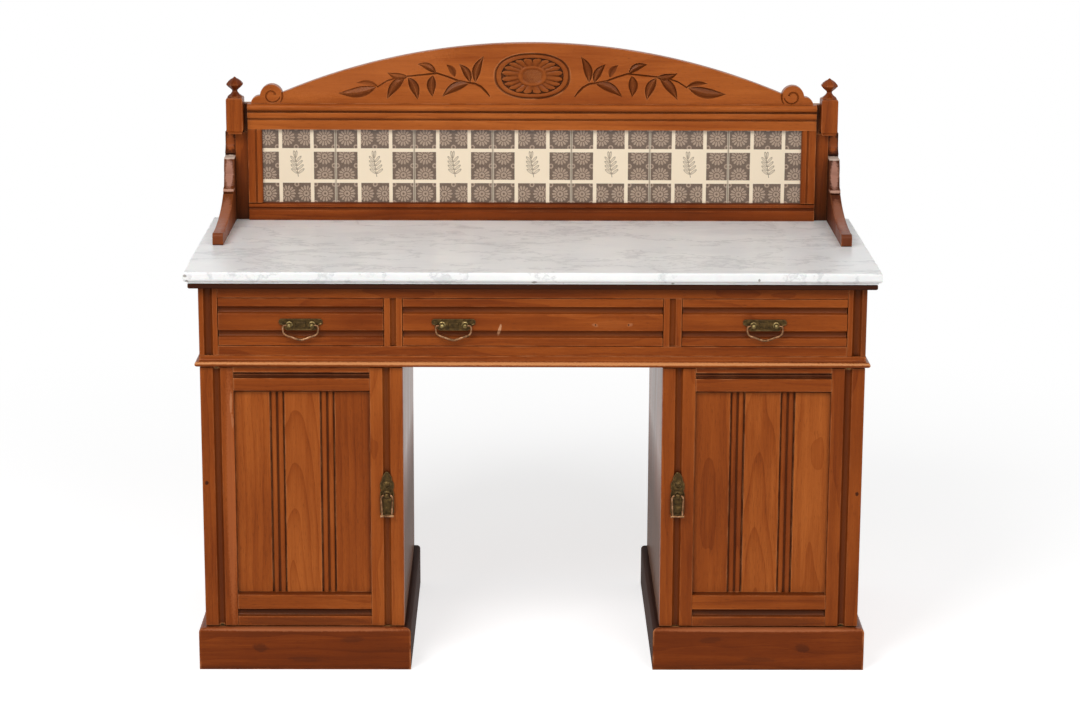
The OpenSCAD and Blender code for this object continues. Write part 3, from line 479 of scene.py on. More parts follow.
def dress(names, material, ease=0.5):
    """Gives carried-over CAD nodes their material, and eases their edges."""
    for name in names:
        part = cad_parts[name]
        part.data.materials.clear()
        part.data.materials.append(material)
        weld = part.modifiers.new("Weld", "WELD")
        weld.merge_threshold = 0.00001
        if ease:
            bevel = part.modifiers.new("Eased edges", "BEVEL")
            bevel.width = ease / 1000
            bevel.segments = 2
            bevel.limit_method = "ANGLE"
            bevel.angle_limit = math.radians(40)
        keep_flat(part)


pine_across = pine("pine_across", "X")
pine_upright = pine("pine_upright", "Z", -0.08)
pine_deep = pine("pine_deep", "Y", 0.05)
dress(["pedestal_bottoms", "pedestal_tops", "pedestal_shelves"], pine_across)
dress(["pedestal_backs", "plinth_blocks"], pine_upright)
dress(["shelf_battens", "drawer_partitions", "drawer_runners", "drawer_kickers", "drawer_stops"], pine_deep)
dress(["frieze_back", "upstand_back"], pine("pine_backs", "X", -0.12))

# Waist board and nosing
# One wide board joins the two pedestals and carries the drawers. A half-round nosing is mitred round its
# front and ends, and a painted highlight along its front stands for the light it catches as one bright line.
waist_top = 593
waist_out = 8.5
nosing_in = 4
nose_round = 4.8
step_out = 1.6
step_up = 12
skin_out = 0.4
skin_up = 13.5
dress(["waist_board"], walnut("waist_board_walnut", "X", (0, 0, 0.58), heart=(0.02, 0.2), lean=0.5), 0)
nosing_section = ([(-nosing_in, waist_under)]
                  + arc((waist_out - nose_round, waist_under + nose_round), nose_round, -90, 90, 10)
                  + [(step_out, waist_under + 2 * nose_round), (step_out, waist_under + step_up),
                     (skin_out, waist_under + skin_up), (skin_out, waist_top), (-nosing_in, waist_top)])
# A painted highlight along the top of the nose.
painted_highlight_line = [((0, 580), (900, 2.6), 0, (218, 150, 96), 0.75)]
in_walnut("waist_nosing_front", front_moulding(nosing_section, -half_width, half_width), "X",
          "waist_moulding", 0.4, light=-0.06, marks=painted_highlight_line)
for word, side in sides:
    in_walnut(word + "_waist_nosing", end_moulding(nosing_section, half_width, 1), "Y", "waist_moulding", 0.4,
              side, light=-0.06)

# Frieze
# The drawer carcase: two end boards, two end stiles and two dividers each with a flute worked down it, and a
# rail above and below the drawers. All are walnut, glued up flush at the front.
front_thick = 20
frieze_top = 719
drawer_foot = 610.7
drawer_head = 699.2
centre_half = 235
divider_wide = 33
end_stile_wide = 34
side_open = half_width - end_stile_wide
stile_middle = side_open + end_stile_wide / 2
stile_flute = (16, 7.1)
divider_flute = (11, 4.9)
flute_shade_and_stain = (0.4, 6.4)


def hollow(middle, wide, deep, steps=8):
    """Points of a hollow sunk in a face at height 0, from one edge to the other: (along, into the wood)."""
    radius = (wide * wide / 4 + deep * deep) / (2 * deep)
    half = math.degrees(math.asin(min(1, wide / 2 / radius)))
    return arc((middle, deep - radius), radius, 90 + half, 90 - half, steps)


def fluted(x, z, flute_at, flute, thick=front_thick):
    """An upright board with a flute run down its face. The flute is (wide, deep)."""
    section = [(x[0], 0)] + hollow(flute_at, *flute) + [(x[1], 0), (x[1], thick), (x[0], thick)]
    return run(section, "Z", z[0], z[1])


for word, side in sides:
    walnut_board(word + "_frieze_end", (half_width - side_thick, half_width), (front_thick, depth),
                 (waist_top, frieze_top), "Y", "frieze_ends", side=side)
    stile = fluted((side_open, half_width), (waist_top, frieze_top), stile_middle, stile_flute)
    dark_edge = [((half_width - 4, (waist_top + frieze_top) / 2), (7, 80), 0, (72, 32, 16), 0.55)]
    in_walnut(word + "_frieze_stile", stile, "Z", "frieze_stiles", 0.8, side, (0.4, 6.6), light=-0.02,
              marks=dark_edge)
    divider = fluted((centre_half, centre_half + divider_wide), (drawer_foot, drawer_head),
                     centre_half + divider_wide / 2, divider_flute)
    in_walnut(word + "_frieze_divider", divider, "Z", "frieze_dividers", 0.8, side, flute_shade_and_stain)
# The top rail is painted darker, as the shade under the slab's overhang.
rails = (("top", (drawer_head, frieze_top), -0.16), ("bottom", (waist_top, drawer_foot), -0.1))
for word, high, light in rails:
    walnut_board("frieze_rail_" + word, (-side_open, side_open), (0, front_thick), high, "X",
                 f"frieze_{word}_rail", light=light)

# Drawers
# Three walnut fronts, each worked with a hollow above and below so that a flat field and two raised bands are
# left. Behind them are pine boxes, and pale marks show where the centre front lost its right handle.
drawer_gap = 0.7
band_wide = 15.6
hollow_wide = 13.4
flute_wide = 13.5
flute_deep = 6
hollow_deep = flute_deep * hollow_wide / flute_wide
handle_up = 650.7
centre_handle = 142.7
screw_aside = 30
screw_radius = 1.5
screw_deep = 9
drawers = {"left": (-side_open, -centre_half - divider_wide), "centre": (-centre_half, centre_half),
           "right": (centre_half + divider_wide, side_open)}
lost_handle = [((-60, 641), (2.6, 11), 14, (214, 160, 118), 0.7),
               ((centre_handle, 652), (33, 9), 0, (176, 98, 48), 0.2),
               ((112, 650), (6, 3), 20, (190, 130, 92), 0.35),
               ((175, 651), (5, 3), -10, (186, 126, 90), 0.35)]


def long_hollow(middle, wide, deep):
    """A hollow worked along a rail instead of down a stile: (into the wood, how high)."""
    return [(into, high) for high, into in hollow(middle, wide, deep)]


def carve(piece, cutter):
    """Takes the space of a second bmesh out of a piece."""
    bmesh.ops.recalc_face_normals(cutter, faces=cutter.faces)
    to_metres(cutter)
    tool_mesh = bpy.data.meshes.new("tool")
    cutter.to_mesh(tool_mesh)
    cutter.free()
    tool = bpy.data.objects.new("tool", tool_mesh)
    bpy.context.scene.collection.objects.link(tool)
    bite = piece.modifiers.new("Carve", "BOOLEAN")
    bite.operation = "DIFFERENCE"
    bite.solver = "MANIFOLD"
    bite.object = tool
    piece.modifiers.remove(piece.modifiers["Flat faces"])
    bpy.context.view_layer.update()
    carved = bpy.data.meshes.new_from_object(piece.evaluated_get(bpy.context.evaluated_depsgraph_get()))
    piece.modifiers.remove(bite)
    piece.data = carved
    carved.name = piece.name
    bpy.data.objects.remove(tool)
    keep_flat(piece)


def peg(x, y, z, radius, deep, steps=12):
    """A bmesh of a round hole's space that runs back from a place on a face."""
    middle = Matrix.Translation((x, y + deep / 2 - 1, z)) @ Matrix.Rotation(math.pi / 2, 4, "X")
    bm = bmesh.new()
    bmesh.ops.create_cone(bm, cap_ends=True, segments=steps, radius1=radius, radius2=radius, depth=deep,
                          matrix=middle)
    return bm


for word, (x0, x1) in drawers.items():
    z0, z1 = drawer_foot + drawer_gap, drawer_head - drawer_gap
    section = [(0, z0)] + long_hollow(drawer_foot + band_wide + hollow_wide / 2, hollow_wide, hollow_deep)
    section += long_hollow(drawer_head - band_wide - hollow_wide / 2, hollow_wide, hollow_deep)
    section += [(0, z1), (front_thick, z1), (front_thick, z0)]
    front = in_walnut(word + "_drawer_face", run(section, "X", x0 + drawer_gap, x1 - drawer_gap), "X",
                      word + "_drawer_front", 1.1, 1, (0.6, 6), word + "_drawer", heart=(0.01, 0.16),
                      light=-0.12 if word == "left" else -0.07, marks=lost_handle if word == "centre" else ())
    if word == "centre":
        for aside in (-screw_aside, screw_aside):
            carve(front, peg(centre_handle + aside, 0, handle_up, screw_radius, screw_deep))
    dress([word + "_drawer_box"], pine_deep, 0.4)

# Doors
# Each door has two stiles with a flute, a top rail with a sunk bead, a bottom rail with a broad hollow, and a
# panel of three flat boards with reeded strips between them. The joints are mortised, and the doors swing on
# hidden brass pivots.
door_foot = 81
door_high = 490
door_top = door_foot + door_high
door_thick = 22
stile_wide = 60
flute_in = 30
heel_round = 8
panel_back = 8
panel_thick = 8
panel_foot = door_foot + 63
panel_head = door_top - 47
panel_slope = 4
bead_up = door_top - 14.7
bead_radius = 2.6
bead_sunk = 5.6
sink_deep = 5
sink_head = door_top - 9
sink_foot = door_top - 20.4
rail_hollow_up = 25.2
rail_hollow = (14.4, 6.4)
flat_wide = 64
reed_wide = 27
quirk = 2.4
reed_half = (reed_wide - 3 * quirk) / 4
reed_flat = 0.79
pivot_x = 592
pivot_y = 11
pivot_end = 4
pivot_half = 6
pivot_long = 40
pivot_thick = 2.5
seat_over = 1
rail_x = (pedestal_inner + stile_wide, half_width - stile_wide)


def reeded(at):
    """The outline of a strip of two reeds with quirks beside them, starting at a place along the panel."""
    back = panel_back + panel_thick
    root = panel_back + panel_thick / 2
    outline = [(at + glue_line, back), (at + glue_line, root)]
    for k in range(2):
        middle = at + quirk + reed_half + k * (2 * reed_half + quirk)
        outline += [(middle - reed_half * math.cos(math.radians(a)),
                     root - reed_half * math.sin(math.radians(a)) * reed_flat) for a in range(0, 181, 20)]
    return outline + [(at + reed_wide - glue_line, root), (at + reed_wide - glue_line, back)]


for word, side in sides:
    body = word + "_door"
    door_frame = word + "_door_frame"
    closing = fluted((pedestal_inner, rail_x[0]), (door_foot, door_top), pedestal_inner + flute_in,
                     (flute_wide, flute_deep), door_thick)
    in_walnut(word + "_door_closing_stile", closing, "Z", door_frame, 1.0, side, flute_shade_and_stain, body,
              light=0.12 if side < 0 else -0.04)
    outline = ([(rail_x[1], 0)] + hollow(half_width - flute_in, flute_wide, flute_deep) + [(half_width, 0)]
               + arc((half_width - heel_round, door_thick - heel_round), heel_round, 0, 90, 6)
               + [(rail_x[1], door_thick)])
    knots = [((side * 593, 354 if side < 0 else 335), (3.5, 4), 0, (40, 14, 8), 0.85)]
    if side < 0:
        knots += [((-549, 330), (8, 240), 0, (180, 100, 56), 0.55),
                  ((-546, 505), (2.5, 20), 2, (204, 142, 100), 0.45),
                  ((-544, 470), (2.2, 14), -3, (200, 138, 98), 0.35)]
    hanging = in_walnut(word + "_door_hanging_stile", run(outline, "Z", door_foot, door_top), "Z", door_frame,
                        1.0, side, flute_shade_and_stain, body, light=-0.03, marks=knots)
    for z in (door_foot - seat_over, door_top - pivot_thick):
        seat_x = sorted((side * (pivot_x + pivot_end - pivot_long), side * (pivot_x + pivot_end)))
        seat_y = (pivot_y - pivot_half, pivot_y + pivot_half)
        carve(hanging, box(seat_x, seat_y, (z, z + pivot_thick + seat_over)))
    bead = arc((bead_sunk, bead_up), bead_radius, 270, 94, 8)
    top_rail = [(0, panel_head + panel_slope), (0, sink_foot), (sink_deep, sink_foot),
                (sink_deep, bead_up - bead_radius)] + bead
    top_rail += [(sink_deep, bead_up + bead_radius), (sink_deep, sink_head), (0, sink_head), (0, door_top),
                 (door_thick, door_top), (door_thick, panel_head), (panel_back, panel_head)]
    # A painted dark line along the sunk bead stands for its shade.
    in_walnut(word + "_door_top_rail", run(top_rail, "X", *rail_x), "X", door_frame, 0.5, side,
              (0.5, 4.5, 0.3), body, light=-0.06,
              marks=[((side * pedestal_middle, bead_up), (132, 5), 0, (60, 28, 14), 0.5)])
    bottom_rail = [(0, door_foot)] + long_hollow(door_foot + rail_hollow_up, *rail_hollow)
    bottom_rail += [(0, panel_foot - panel_slope), (panel_back, panel_foot), (door_thick, panel_foot),
                    (door_thick, door_foot)]
    # Painted dark bands in the hollow and along the strip below it stand for their shade.
    in_walnut(word + "_door_bottom_rail", run(bottom_rail, "X", *rail_x), "X", door_frame, 0.8, side,
              (0.5, 4.5, 0.9), body, marks=[
                  ((side * pedestal_middle, door_foot + 26), (132, 6), 0, (58, 26, 13), 0.7),
                  ((side * pedestal_middle, door_foot + 8), (132, 9), 0, (82, 38, 18), 0.5)])
    arched = {"heart": (0.004 * side, 0.035), "lean": 5.5, "rings": 0.17}
    flats = (("near", -0.04, {}), ("middle", 0.12, arched), ("far", 0.11, {}))
    panel = word + "_door_panel"
    for i, (place, light, figure) in enumerate(flats):
        at = rail_x[0] + i * (flat_wide + reed_wide)
        walnut_board(f"{panel}_{place}", (at, at + flat_wide), (panel_back, panel_back + panel_thick),
                     (panel_foot, panel_head), "Z", panel, body=body, side=side, ease=0.5, light=light,
                     **figure)
    for i, place in enumerate(("near", "far")):
        strip = run(reeded(rail_x[0] + flat_wide + i * (flat_wide + reed_wide)), "Z", panel_foot, panel_head)
        in_walnut(f"{word}_door_reeds_{place}", strip, "Z", panel, 0, side, (9.2, 2.6), body,
                  f"{word}_door_reeds_{i}", light=-0.03)

# Marble top
# One slab of white statuary marble with grey veins, moulded on the front and both ends and left rough at the
# back. It lies loose on a board that is screwed over the carcase, painted near-black as the shade under the
# slab's overhang, and its arris has a few small chips.
slab_foot = 729
slab_thick = 22
slab_out = 24
ovolo_round = 7
ovolo_up = 10
arris_round = 4
marble_white = rgb(253, 253, 251)
marble_cloud = rgb(226, 227, 228)
marble_vein = rgb(158, 160, 163)
marble_speck = rgb(150, 146, 138)
marble_worn = rgb(252, 250, 245)
chip = (120, 110, 98)
chips = [(place, size, 0, chip, 0.7) for place, size in (
    ((-621, 744), (4, 2.5)), ((-618, 734), (2.5, 3)), ((2, 733), (5, 2.5)), ((250, 731), (3, 2)),
    ((404, 738), (2, 3)))]


def through(rings):
    """A closed bmesh that runs through rings of corners, each with the same corners in the same order."""
    bm = bmesh.new()
    face = bm.faces.new([bm.verts.new(corner) for corner in rings[0]])
    for i in range(1, len(rings)):
        moved = bmesh.ops.extrude_face_region(bm, geom=[face])["geom"]
        if i > 1:
            bmesh.ops.delete(bm, geom=[face], context="FACES_ONLY")
        face = next(f for f in moved if isinstance(f, bmesh.types.BMFace))
        for corner in face.verts:
            old = min(range(len(rings[0])), key=lambda k: (corner.co - Vector(rings[i - 1][k])).length)
            corner.co = rings[i][old]
    return bm


def stacked(levels, x, y, back_too=True):
    """A block whose sides step in and out together, or all but its back. A level is (out, high)."""
    rings = []
    for out, high in levels:
        back = y[1] + out * back_too
        rings.append([(x[0] - out, back, high), (x[1] + out, back, high), (x[1] + out, y[0] - out, high),
                      (x[0] - out, y[0] - out, high)])
    return through(rings)


def marble():
    """White marble with soft grey clouds and thin veins, rubbed to a silky gloss."""
    material, tree = started("white_marble")
    here = in_metres(tree)
    slanting = laid(tree, here, turn=(0, 0, 0.35), stretch=(1, 1.9, 1))
    wavy = wavered(tree, slanting, slanting, (0.5, 0.5, 0.5), 5.0, 6.0, 0.6)
    seams = node(tree, "TexNoise", {"Vector": wavy, "Scale": 4.2, "Detail": 5.0, "Roughness": 0.55})
    seam_far = calc(tree, "ABSOLUTE", calc(tree, "SUBTRACT", seams.outputs[0], 0.5))
    veins = between(tree, seam_far, 0.03, 0.0, 0.0, 0.34)
    clouds = between(tree, noise(tree, wavy, 3.5, 6.0, rough=0.6), 0.4, 0.75, 0.0, 0.7)
    specks = between(tree, noise(tree, here, 60.0, 4.0, rough=0.7), 0.68, 0.82, 0.0, 0.3)
    colour = blended(tree, clouds, marble_white, marble_cloud)
    colour = blended(tree, veins, colour, marble_vein)
    colour = blended(tree, specks, colour, marble_speck)
    colour = blended(tree, rubbing(tree, 0.004, 0.9, 0.3, 0.5), colour, marble_worn)
    colour = marked(tree, colour, chips)
    rough = between(tree, noise(tree, here, 25.0, 4.0), 0.0, 1.0, 0.24, 0.42)
    return finished(material, {"Base Color": colour, "Roughness": rough, "Specular IOR Level": 0.4,
                               "Subsurface Weight": 0.06, "Subsurface Scale": 0.01})


nose = slab_out - ovolo_round
slab_edge = ([(nose, 0)] + arc((nose, ovolo_up), ovolo_round, -90, 0, 6)
             + arc((slab_out - arris_round, slab_thick - arris_round), arris_round, 0, 90, 5))
slab_levels = [(out, slab_foot + high) for out, high in slab_edge]
slab = stacked(slab_levels, (-half_width, half_width), (0, depth), False)
make("marble_slab", slab, "carcase", marble(), "marble_top", 0)
# The board under the slab is painted near-black, as the shade under the slab's overhang.
dress(["sub_top"], walnut("sub_top_dark", "X", (0, 0, 0.72), light=-0.9, dull=("Z", 900, 760)), 0.5)

# Upstand frame
# Moulded walnut rails above and below the tiles and a stile at each end, glued up like a picture frame on a
# thin pine backboard. The top rail carries the pediment.
top_face = 751
back_face = 500
frame_face = 480
tile_face = 490
frame_half = 552
sight_half = 524.2
sight_foot = 785.3
rebate_wide = 11.3
head_foot = 929.5
arch_foot = 979.5
cove = 5
torus = 6.5
head_rail = [(back_face, arch_foot), (back_face, head_foot), (tile_face, head_foot), (frame_face, head_foot),
             (frame_face, head_foot + 18), (frame_face + 2, head_foot + 19)]
head_rail += arc((frame_face + 2, head_foot + 26), cove, 270, 180, 5)
head_rail += [(frame_face - 3, arch_foot - 17), (frame_face + 1, arch_foot - 16),
              (frame_face + 1, arch_foot - 14)]
head_rail += arc((frame_face, arch_foot - 7), torus, 270, 90, 10) + [(frame_face + 1, arch_foot)]
foot_rail = [(frame_face, top_face), (frame_face, sight_foot - 15), (frame_face + 3, sight_foot - 12),
             (frame_face + 3, sight_foot - 10), (frame_face, sight_foot - 8), (frame_face, sight_foot - 3),
             (frame_face + 4, sight_foot), (back_face, sight_foot), (back_face, top_face)]
in_walnut("upstand_head_rail", run(head_rail, "X", -frame_half, frame_half), "X", "upstand_top_rail", 0.4, 1,
          (frame_face + 0.6, 4), light=0.17)
in_walnut("upstand_foot_rail", run(foot_rail, "X", -frame_half, frame_half), "X", "upstand_bottom_rail", 0.4,
          1, (frame_face + 0.6, 3), light=-0.22)
for word, side in sides:
    s = sight_half
    upright = [(s, frame_face + 3), (s + 4, frame_face), (s + 10, frame_face), (s + 11, frame_face + 2),
               (s + 13, frame_face + 2), (s + 14, frame_face), (frame_half, frame_face),
               (frame_half, back_face), (s + rebate_wide, back_face), (s + rebate_wide, tile_face),
               (s, tile_face)]
    in_walnut(word + "_upstand_stile", run(upright, "Z", sight_foot, head_foot), "Z", "upstand_stiles", 0.4,
              side, (frame_face + 0.6, 3))

# Posts and finials
# A square post stands at each end of the tiles, let in over the frame's edge. Its head carries an eight-sided
# turned and faceted finial that is pegged on, and a small collar is worked round its foot.
post_foot = 923
post_top = 993
post_x = (559, 591)
post_y = (458, 500)
post_seam = 0.05
shaft_face = frame_face + 8
shaft_inner = frame_half + post_seam
wing_inner = 577
for word, side in sides:
    levels = [(-3, post_foot), (-2.4, post_foot + 2), (-2.4, post_foot + 4), (-0.8, post_foot + 5),
              (0, post_foot + 7), (0, post_top - 3), (-1.6, post_top)]
    in_walnut(word + "_post_head", stacked(levels, post_x, post_y), "Z", "upstand_posts", 0.6, side,
              light=-0.03 if side < 0 else -0.1)
    # The shaft is painted darker towards the marble and the filler darker all over, as the shade in the
    # inside corner by the wing.
    walnut_board(word + "_post_shaft", (shaft_inner, wing_inner - post_seam), (shaft_face, back_face),
                 (top_face, post_foot), "Z", "upstand_posts", side=side, light=-0.12, dull=("Z", 900, 750))
    walnut_board(word + "_post_filler", (shaft_inner, post_x[0] - post_seam), (shaft_face, back_face),
                 (post_foot, arch_foot), "Z", "upstand_posts", side=side, light=-0.35)


def turned(profile, place, axis, steps=24, start=0.0):
    """A bmesh of a turned piece. Each point of its profile is (radius, how far along the axis)."""
    bm = bmesh.new()
    way = Vector((0, 0, 1)) if axis == "Z" else Vector((0, -1, 0))
    out = Matrix.Rotation(start, 3, way) @ Vector((1, 0, 0))
    wire = [bm.verts.new(Vector(place) + out * radius + way * along) for radius, along in profile]
    edges = [bm.edges.new(pair) for pair in zip(wire, wire[1:])]
    bmesh.ops.spin(bm, geom=wire + edges, axis=way, cent=place, angle=math.tau, steps=steps, use_merge=True)
    bmesh.ops.remove_doubles(bm, verts=bm.verts, dist=0.0001)
    return bm


finial = [(0, 0), (15, 0), (15, 1.6), (13.6, 3), (9.2, 6.2), (6.4, 9.6), (5.2, 12), (5.6, 14), (8.2, 16.4),
          (12.4, 19.8), (16.6, 24), (17, 25.4), (16.6, 26.8), (12.6, 31.4), (8.4, 34.6), (4.4, 36.6),
          (2.2, 38.4), (0, 40)]
finial_sides = 8
finial_at = ((post_x[0] + post_x[1]) / 2, (post_y[0] + post_y[1]) / 2, post_top)
for word, side in sides:
    faceted = turned(finial, finial_at, "Z", finial_sides, math.pi / finial_sides)
    piece = in_walnut(word + "_finial", faceted, "Z", "finials", 0, side, light=-0.25)
    piece.data.set_sharp_from_angle(angle=math.radians(18))

# Wings
# A shaped board runs forward over the marble from each post: a rounded foot, a long sweep up to a bead, a
# lobe with a flat ledge on it, and a hollow under the post's head. They were cut with a fret saw. Their front
# edges carry painted highlights and glints, and the boards are painted darker towards the back as shade.
wing_outer = 597
wing_tall = post_foot - top_face
wing_middle = (wing_inner + wing_outer) / 2


def wing_outline():
    """Points of the wing as (how far forward from the back, how high above the marble), from the foot up."""
    points = [(0, 0), (286, 0), (288, 2)] + arc((280, 15), 8, 0, 90, 5) + [(277, 22)]
    sweep = [math.radians(a) for a in range(0, 65, 4)]
    points += [(277 - 219 * math.sin(a), 92 - 70 * math.cos(a)) for a in sweep]
    points += arc((72, 65), 6, -50, 100, 7) + [(62, 73), (58, 81), (56, 91), (53, 93.5)]
    points += arc((30, 104), 24, -20, 35, 6) + arc((43, 120), 6, 15, 90, 4) + [(23, 126), (23, 130)]
    return points + arc((38, 154), 24, 245, 180, 7) + [(14, wing_tall), (0, wing_tall)]


for word, side in sides:
    edge = [(depth - forward, top_face + up) for forward, up in wing_outline()]
    at = wing_middle * side
    # Painted highlights and glints on the front edge's lobe, ledge, bead and sweep, a darker patch on the
    # foot's front and an orange patch on the neck; the wing is also painted darker towards the back, as
    # shade.
    painted_light = [((at, 847, 450), (8, 30, 40), 0, (190, 138, 118), 0.7),
            ((at, 768, 226), (16, 16, 12), 0, (100, 54, 38), 0.6),
            ((at, 877, 468), (17, 3, 24), 0, (230, 206, 188), 0.75),
            ((at, 818, 440), (15, 3, 24), 0, (214, 168, 146), 0.65),
            ((at, 790, 330), (10, 22, 120), 0, (172, 112, 86), 0.55),
            ((at, 904, 487), (10, 17, 20), 0, (158, 82, 40), 0.9)]
    in_walnut(word + "_wing", run(edge, "X", wing_inner, wing_outer), "Z", "wings", 1.6, side,
              light=0.0 if side < 0 else -0.35, marks=painted_light, dull=("Y", 300, 480))

# Pediment
# One wide walnut board sawn to a long arch between two scrolled ears and fixed on the top rail. An oval
# flower with a stippled middle and two sprays of leaves are carved in its face, and the cuts are painted
# nearly black, for old polish gone dark in them and for their shade.
pediment_face = 482
pediment_thick = 20
arch_rise = 118.8
arch_bend = 1252.5
arch_reach = 22.72
ear = (505, 15.5)
ear_radius = 22
ear_step = (528, 17, 15.5)
oval_up = 55
ear_end = [(ear_step[0] + ear_step[1] * math.cos(math.radians(a)), ear_step[2] * math.sin(math.radians(a)))
           for a in range(0, 80, 15)] + arc(ear, ear_radius, 0, 163.9, 14)
arch = arc((0, arch_rise - arch_bend), arch_bend, 90 - arch_reach, 90 + arch_reach, 60)
pediment_edge = [(x, arch_foot + z) for x, z in ear_end + arch + [(-x, z) for x, z in reversed(ear_end)]]
# A painted paler sweep over the left half, as the light falls from the left.
painted_light_sweep = [((-330, 1045), (170, 40), -14, (196, 112, 58), 0.3)]
pediment_wood = walnut("pediment_walnut", "X", (0, 0.25, 1.03), heart=(0.03, 0.2), light=0.12, rings=0.08,
                       marks=painted_light_sweep)
pediment = make("pediment_board", run(pediment_edge, "Y", pediment_face, pediment_face + pediment_thick),
                "carcase", pediment_wood, "pediment", 0.8)
gouge = [(-1, -0.4), (-1, 0), (0, 1), (1, 0), (1, -0.4)]
crowned_gouge = [(-1, -0.4), (-1, 0), (-0.72, 1), (0, 0.25), (0.72, 1), (1, 0), (1, -0.4)]


def gouged(path, widths, deep, crowned=False):
    """The space that a gouge takes along a path of (across, above the rail). A crowned cut leaves its middle
    standing."""
    def cut_at(i):
        """The outline of the cut at one point of its path."""
        along = (Vector(path[min(i + 1, len(path) - 1)]) - Vector(path[max(i - 1, 0)])).normalized()
        half = widths[i] / 2
        sunk = deep * (widths[i] / max(widths)) ** 0.5
        return [Vector((path[i][0] - along.y * a * half, pediment_face + b * sunk,
                        arch_foot + path[i][1] + along.x * a * half))
                for a, b in (crowned_gouge if crowned else gouge)]

    return through([cut_at(i) for i in range(len(path))])


leaf_steps = 9
leaf_full = 1.45
leaf_deep = 3.6
broad_leaf = 9


def leaf(root, tip, wide, bow):
    """The gouge cut of one pointed leaf, bent a little to one side. A broad leaf is crowned."""
    root, tip = Vector(root), Vector(tip)
    aside = Vector((root.y - tip.y, tip.x - root.x)) * bow
    shares = [i / leaf_steps for i in range(leaf_steps + 1)]
    path = [root.lerp(tip, t) + aside * math.sin(math.pi * t) for t in shares]
    widths = [max(0.6, wide * leaf_full * math.sin(math.pi * t ** 0.85)) for t in shares]
    return gouged(path, widths, leaf_deep, wide > broad_leaf)


leaves = [((302, 33), (375, 21), 15, -0.06), ((298, 34), (340, 41), 7, 0.1),
          ((240, 54), (280, 61), 10, -0.1), ((246, 53), (281, 10), 13, 0.08),
          ((240, 52), (222, 9), 13, -0.08), ((186, 60), (222, 78), 10, 0.12),
          ((192, 56), (193, 15), 13, 0.07), ((150, 53), (166, 77), 9, 0.12),
          ((120, 43), (141, 78), 11, 0.1), ((110, 43), (94, 93), 12, -0.1), ((122, 41), (174, 15), 13, 0.1)]
stem = [(300, 33), (281, 45), (262, 51), (242, 54), (213, 57), (184, 60), (165, 54), (144, 46), (124, 42),
        (110, 40), (99, 34), (90, 25), (82, 15)]
stem_widths = [3 + 0.18 * i for i in range(len(stem) - 1)] + [2]
scroll_steps = 26
scroll = []
for i in range(scroll_steps + 1):
    turn = math.radians(160 - 13 * i)
    radius = 7.8 + 5.5 * (i / scroll_steps) + 4 * (i / scroll_steps) ** 6
    scroll.append((ear[0] + radius * math.cos(turn), ear[1] - 0.5 + radius * math.sin(turn)))
scroll_widths = [5.6 - 0.1 * i for i in range(scroll_steps)] + [1.2]
ear_rim = arc(ear, ear_radius - 0.5, 160, 218, 6)
for side in (-1, 1):
    cuts = [leaf(*each) for each in leaves]
    cuts += [gouged(stem, stem_widths, 2.6), gouged(scroll, scroll_widths, 2.4),
             peg(scroll[0][0], pediment_face, scroll[0][1], 2.8, 4),
             gouged(ear_rim, [3.6, 4.6, 4.8, 4.4, 3.6, 2.6, 1], 2.4)]
    for cut in cuts:
        bmesh.ops.scale(cut, vec=(side, 1, 1), verts=cut.verts)
        carve(pediment, cut)


def on_oval(x, z):
    """Where a point of a round flower goes when it is pressed into the carved, slightly squared oval."""
    reach = math.hypot(x, z)
    if reach < 0.001:
        return 0, arch_foot + oval_up
    flat = 0.72 - 0.145 * min(1, max(0, (reach - 25) / 35)) + 0.033 * max(0, (reach - 60) / 14)
    across, up = (math.copysign(abs(v / reach) ** 0.88, v) for v in (x, z))
    return reach * across, arch_foot + oval_up + reach * flat * up


petals = 20
petal_steps = 16
petal_root = 28
petal_turn = 49
petal_tip = 59
vein_half = 0.9
flower_half = 74
plug_deep = 8
stipple = 3.4
stipple_reach = 18.5
stipple_deep = 0.9
rim = [on_oval(*point) for point in arc((0, 0), flower_half, 0, 360 - 360 / petals / 2, petals * 2 - 1)]
carve(pediment, run(rim, "Y", pediment_face - 1, pediment_face + plug_deep))
boss = [(0.9 * i, 2.4) for i in range(21)] + [(19.2, 1.9), (21, 1.1), (23, 0.6), (25, 0.5), (27, 1.4)]
petal_ring = [(28.5 + 1.5 * i, 2) for i in range(21)]
band = [(60, 5.2), (60.4, 1.2), (62, 0.3), (65, 0), (68, 0.3), (69.6, 1.2), (70.8, 3.4), (72.6, 3.4),
        (73.9, 0.5)]
plug = [(flower_half, 0), (flower_half, plug_deep), (0, plug_deep)]
flower = turned([(r, -deep) for r, deep in boss + petal_ring + band + plug], (0, pediment_face, 0), "Y",
                petals * petal_steps)
for point in flower.verts:
    reach = math.hypot(point.co.x, point.co.z)
    on_face = point.co.y < pediment_face + plug_deep - 1
    if reach < stipple_reach and on_face:
        dots = math.cos(math.tau * point.co.x / stipple) * math.cos(math.tau * point.co.z / stipple)
        point.co.y += stipple_deep * max(0, dots)
    if petal_root < reach < petal_tip and on_face:
        share = math.degrees(math.atan2(point.co.z, point.co.x)) * petals / 360 % 1
        aside = abs(2 * share - 1)
        half = vein_half
        if reach >= petal_turn:
            half *= math.sqrt(max(0, 1 - ((reach - petal_turn) / (petal_tip - petal_turn)) ** 2))
        sunk = 3.4 if reach < 44 else 5.2
        if aside < half:
            sunk = 2.4 - 1.5 * min(1, (reach - petal_root) / 20) + 1.1 * (aside / half) ** 2
        point.co.y = pediment_face + sunk
    point.co.x, point.co.z = on_oval(point.co.x, point.co.z)
make("pediment_flower", flower, "carcase", pediment_wood, "pediment", 0, 1,
     (pediment_face, 5.2, 0.3))

